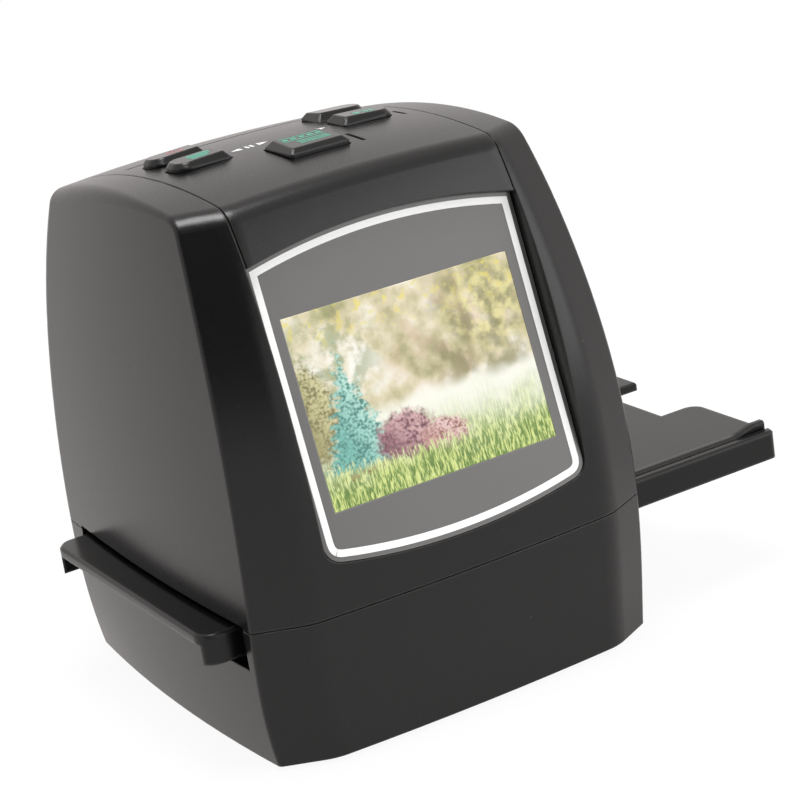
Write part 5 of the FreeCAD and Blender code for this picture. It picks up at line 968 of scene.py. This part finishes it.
# %% [markdown]
# The marks are small drawings of what a button does, so they need no words: a broken ring with
# a bar for power, stacked bars for the mode, a strip of film over a list for the scan and an
# arrow with two bars for play. White arrows on the cover behind the scan button stand for the
# mirror and for turning the picture. Each shape in a drawing is a function, its place from the
# middle of a cap, its length and width, or a ring's radius and width, and last its corner, its
# half gap or its turn. All are in mm, but the turn is in degrees.

# %% The marks
FILM = [(flat_block, 0.0, row, 8.6, 0.4, 0.1) for row in (3.0, 0.6)]
FILM += [(flat_block, step, 1.8, 1.2, 1.1, 0.15) for step in (-3.6, -1.8, 0.0, 1.8, 3.6)]
FILM += [(flat_block, 0.9, -row, 6.6, 0.5, 0.1) for row in (0.7, 1.6, 2.5)]
POWER = [(open_ring, 0.6, 0.0, 1.7, 0.5, 0.8), (flat_block, 0.6, 1.1, 0.5, 1.7, 0.1)]
BARS = [(flat_block, 0.9, 1.25, 5.0, 0.95, 0.12), (flat_block, 0.6, 0.0, 4.6, 0.95, 0.12),
        (flat_block, 0.3, -1.25, 3.6, 0.95, 0.12)]
PLAY = [(flat_arrow, -1.3, -0.7, 2.0, 2.6, 0.0), (flat_block, 0.7, -0.7, 0.65, 2.6, 0.1),
        (flat_block, 1.9, -0.7, 0.65, 2.6, 0.1)]
MIRROR = [(flat_arrow, -9.0, 12.0, 2.2, 2.1, 180.0), (flat_block, -6.9, 12.0, 0.5, 2.1, 0.1),
          (flat_block, -5.9, 12.0, 0.5, 2.1, 0.1), (flat_arrow, -3.8, 12.0, 2.2, 2.1, 0.0)]
FLIP = [(flat_arrow, 9.0, 11.0, 1.6, 1.8, 0.0)]


def shapes_round(button, drawing):
    """The flat shapes of a drawing that is placed from the middle of a button's cap."""
    x, y = cap_middle(button)
    return [make(x + to_side, y + to_back, *sizes) for make, to_side, to_back, *sizes in drawing]


for button, name, drawing, colour in (("power_button", "power_mark", POWER, red_ink),
                                      ("mode_button", "mode_mark", BARS, teal_ink),
                                      ("scan_button", "scan_mark", FILM, teal_ink),
                                      ("play_button", "play_mark", PLAY, teal_ink)):
    print_mark(name, shapes_round(button, drawing), colour, button, button)
for name, drawing in (("mirror_mark", MIRROR), ("flip_mark", FLIP)):
    print_mark(name, shapes_round("scan_button", drawing), white_ink, "top_cover", "casing")

# %% [markdown]
# The floor and the world are backdrops. A camera ray finds them plain white, so that the picture
# has a white background. A ray in gloss or through glass finds a warmer white, as the walls of a
# room make it. Every other ray finds an ordinary surface or a dimmer light, which keeps the
# object's soft shadow.

# %% Helpers for the backdrops
WHITE = (1.0, 1.0, 1.0, 1.0)
WARM_WHITE = (0.96, 0.92, 0.905, 1.0)


def backdrop_sight(tree):
    """Whether a ray sees the backdrop as white, and which white it sees."""
    paths = add(tree, "ShaderNodeLightPath").outputs
    seen = calc(tree, "MAXIMUM", paths["Is Camera Ray"],
                calc(tree, "MAXIMUM", paths["Is Glossy Ray"], paths["Is Transmission Ray"]))
    return seen, blend_colours(tree, paths["Is Camera Ray"], WARM_WHITE, WHITE)


def mix_to_output(tree, amount, first, second):
    """Mix two shaders and join the mix to the tree's own output node."""
    mixed = add(tree, "ShaderNodeMixShader")
    for value, socket in zip((amount, first, second), mixed.inputs):
        wire(tree, value, socket)
    output = next(node for node in tree.nodes if node.type.startswith("OUTPUT"))
    wire(tree, mixed.outputs[0], output.inputs["Surface"])


# %% [markdown]
# A little of the floor's own matt paint stays in what the camera sees, and so does the shadow on
# it.

# %% Floor
FLOOR_SIZE = 4.0
FLOOR_LEVEL = -0.0002
FLOOR_GLOW = 0.93

bpy.ops.mesh.primitive_plane_add(size=FLOOR_SIZE, location=(0.0, 0.0, FLOOR_LEVEL))
floor = bpy.context.object
floor.name = "floor"
floor_paint, tree, shader = blank_material("floor_paint")
cloud = placed(tree, "ShaderNodeTexNoise", Scale=2.0)
drift_colour(tree, shader, cloud.outputs["Fac"], "f4f4f4", "f8f8f8")
shader.inputs["Roughness"].default_value = 0.9
shader.inputs["Specular IOR Level"].default_value = 0.1
seen, backdrop_colour = backdrop_sight(tree)
glow = add(tree, "ShaderNodeEmission", Strength=1.0)
wire(tree, backdrop_colour, glow.inputs["Color"])
mix_to_output(tree, calc(tree, "MULTIPLY", seen, FLOOR_GLOW), shader.outputs[0], glow.outputs[0])
floor.data.materials.append(floor_paint)
print("floor at", floor.location.z)

# %% [markdown]
# As a source of light the world is a little dimmer than white, so that white ink comes out white
# and not burnt.

# %% World
WORLD_LIGHT = 0.82

world = bpy.data.worlds.new("studio")
bpy.context.scene.world = world
world.use_nodes = True
tree = world.node_tree
dim = tree.nodes["Background"]
dim.inputs["Color"].default_value = WHITE
dim.inputs["Strength"].default_value = WORLD_LIGHT
bright = add(tree, "ShaderNodeBackground", Strength=1.0)
seen, backdrop_colour = backdrop_sight(tree)
wire(tree, backdrop_colour, bright.inputs["Color"])
mix_to_output(tree, seen, dim.outputs[0], bright.outputs[0])
print("the world's light:", WORLD_LIGHT)

# %% [markdown]
# Two large soft lamps: one above, whose reflection is the bright band along the front of the
# crown, and a wide weak one in front on the right.

# %% Lamps
OBJECT_MIDDLE = Vector((0.0, 0.0, 0.05))


def soft_lamp(name, place, size, watts):
    """A square area lamp that looks at the middle of the object."""
    bpy.ops.object.light_add(type="AREA", location=place)
    lamp = bpy.context.object
    lamp.name = name
    lamp.data.shape = "SQUARE"
    lamp.data.size = size
    lamp.data.energy = watts
    way = OBJECT_MIDDLE - Vector(place)
    lamp.rotation_euler = way.to_track_quat("-Z", "Y").to_euler()
    print(name, "stands", round(way.length, 2), "m away")


soft_lamp("lamp_above", (-0.05, -0.05, 1.2), size=0.48, watts=10.0)
soft_lamp("lamp_front", (0.80, -0.84, 0.36), size=1.0, watts=6.2)
bpy.context.scene.view_settings.view_transform = "Standard"

# %% [markdown]
# Black plastic is drawn by what it reflects. A dark card stands behind the camera, out of its
# sight, so that the bevel on the left front corner stays dark, as a photographer would do it.
# Camera rays pass through the card.

# %% Dark card
CARD_PLACE = (-0.58, -0.74, 0.74)
CARD_SIZE = (1.35, 1.15, 1.0)

bpy.ops.mesh.primitive_plane_add(size=1.0, location=CARD_PLACE)
card = bpy.context.object
card.name = "dark_card"
card.scale = CARD_SIZE
way = OBJECT_MIDDLE - card.location
card.rotation_euler = way.to_track_quat("Z", "Y").to_euler()
card.visible_camera = False
card_paint, tree, shader = blank_material("card_paint")
cloud = placed(tree, "ShaderNodeTexNoise", Scale=6.0)
drift_colour(tree, shader, cloud.outputs["Fac"], "2c2c2c", "383838")
shader.inputs["Roughness"].default_value = 0.9
card.data.materials.append(card_paint)
print("card stands", round(way.length, 2), "m away")
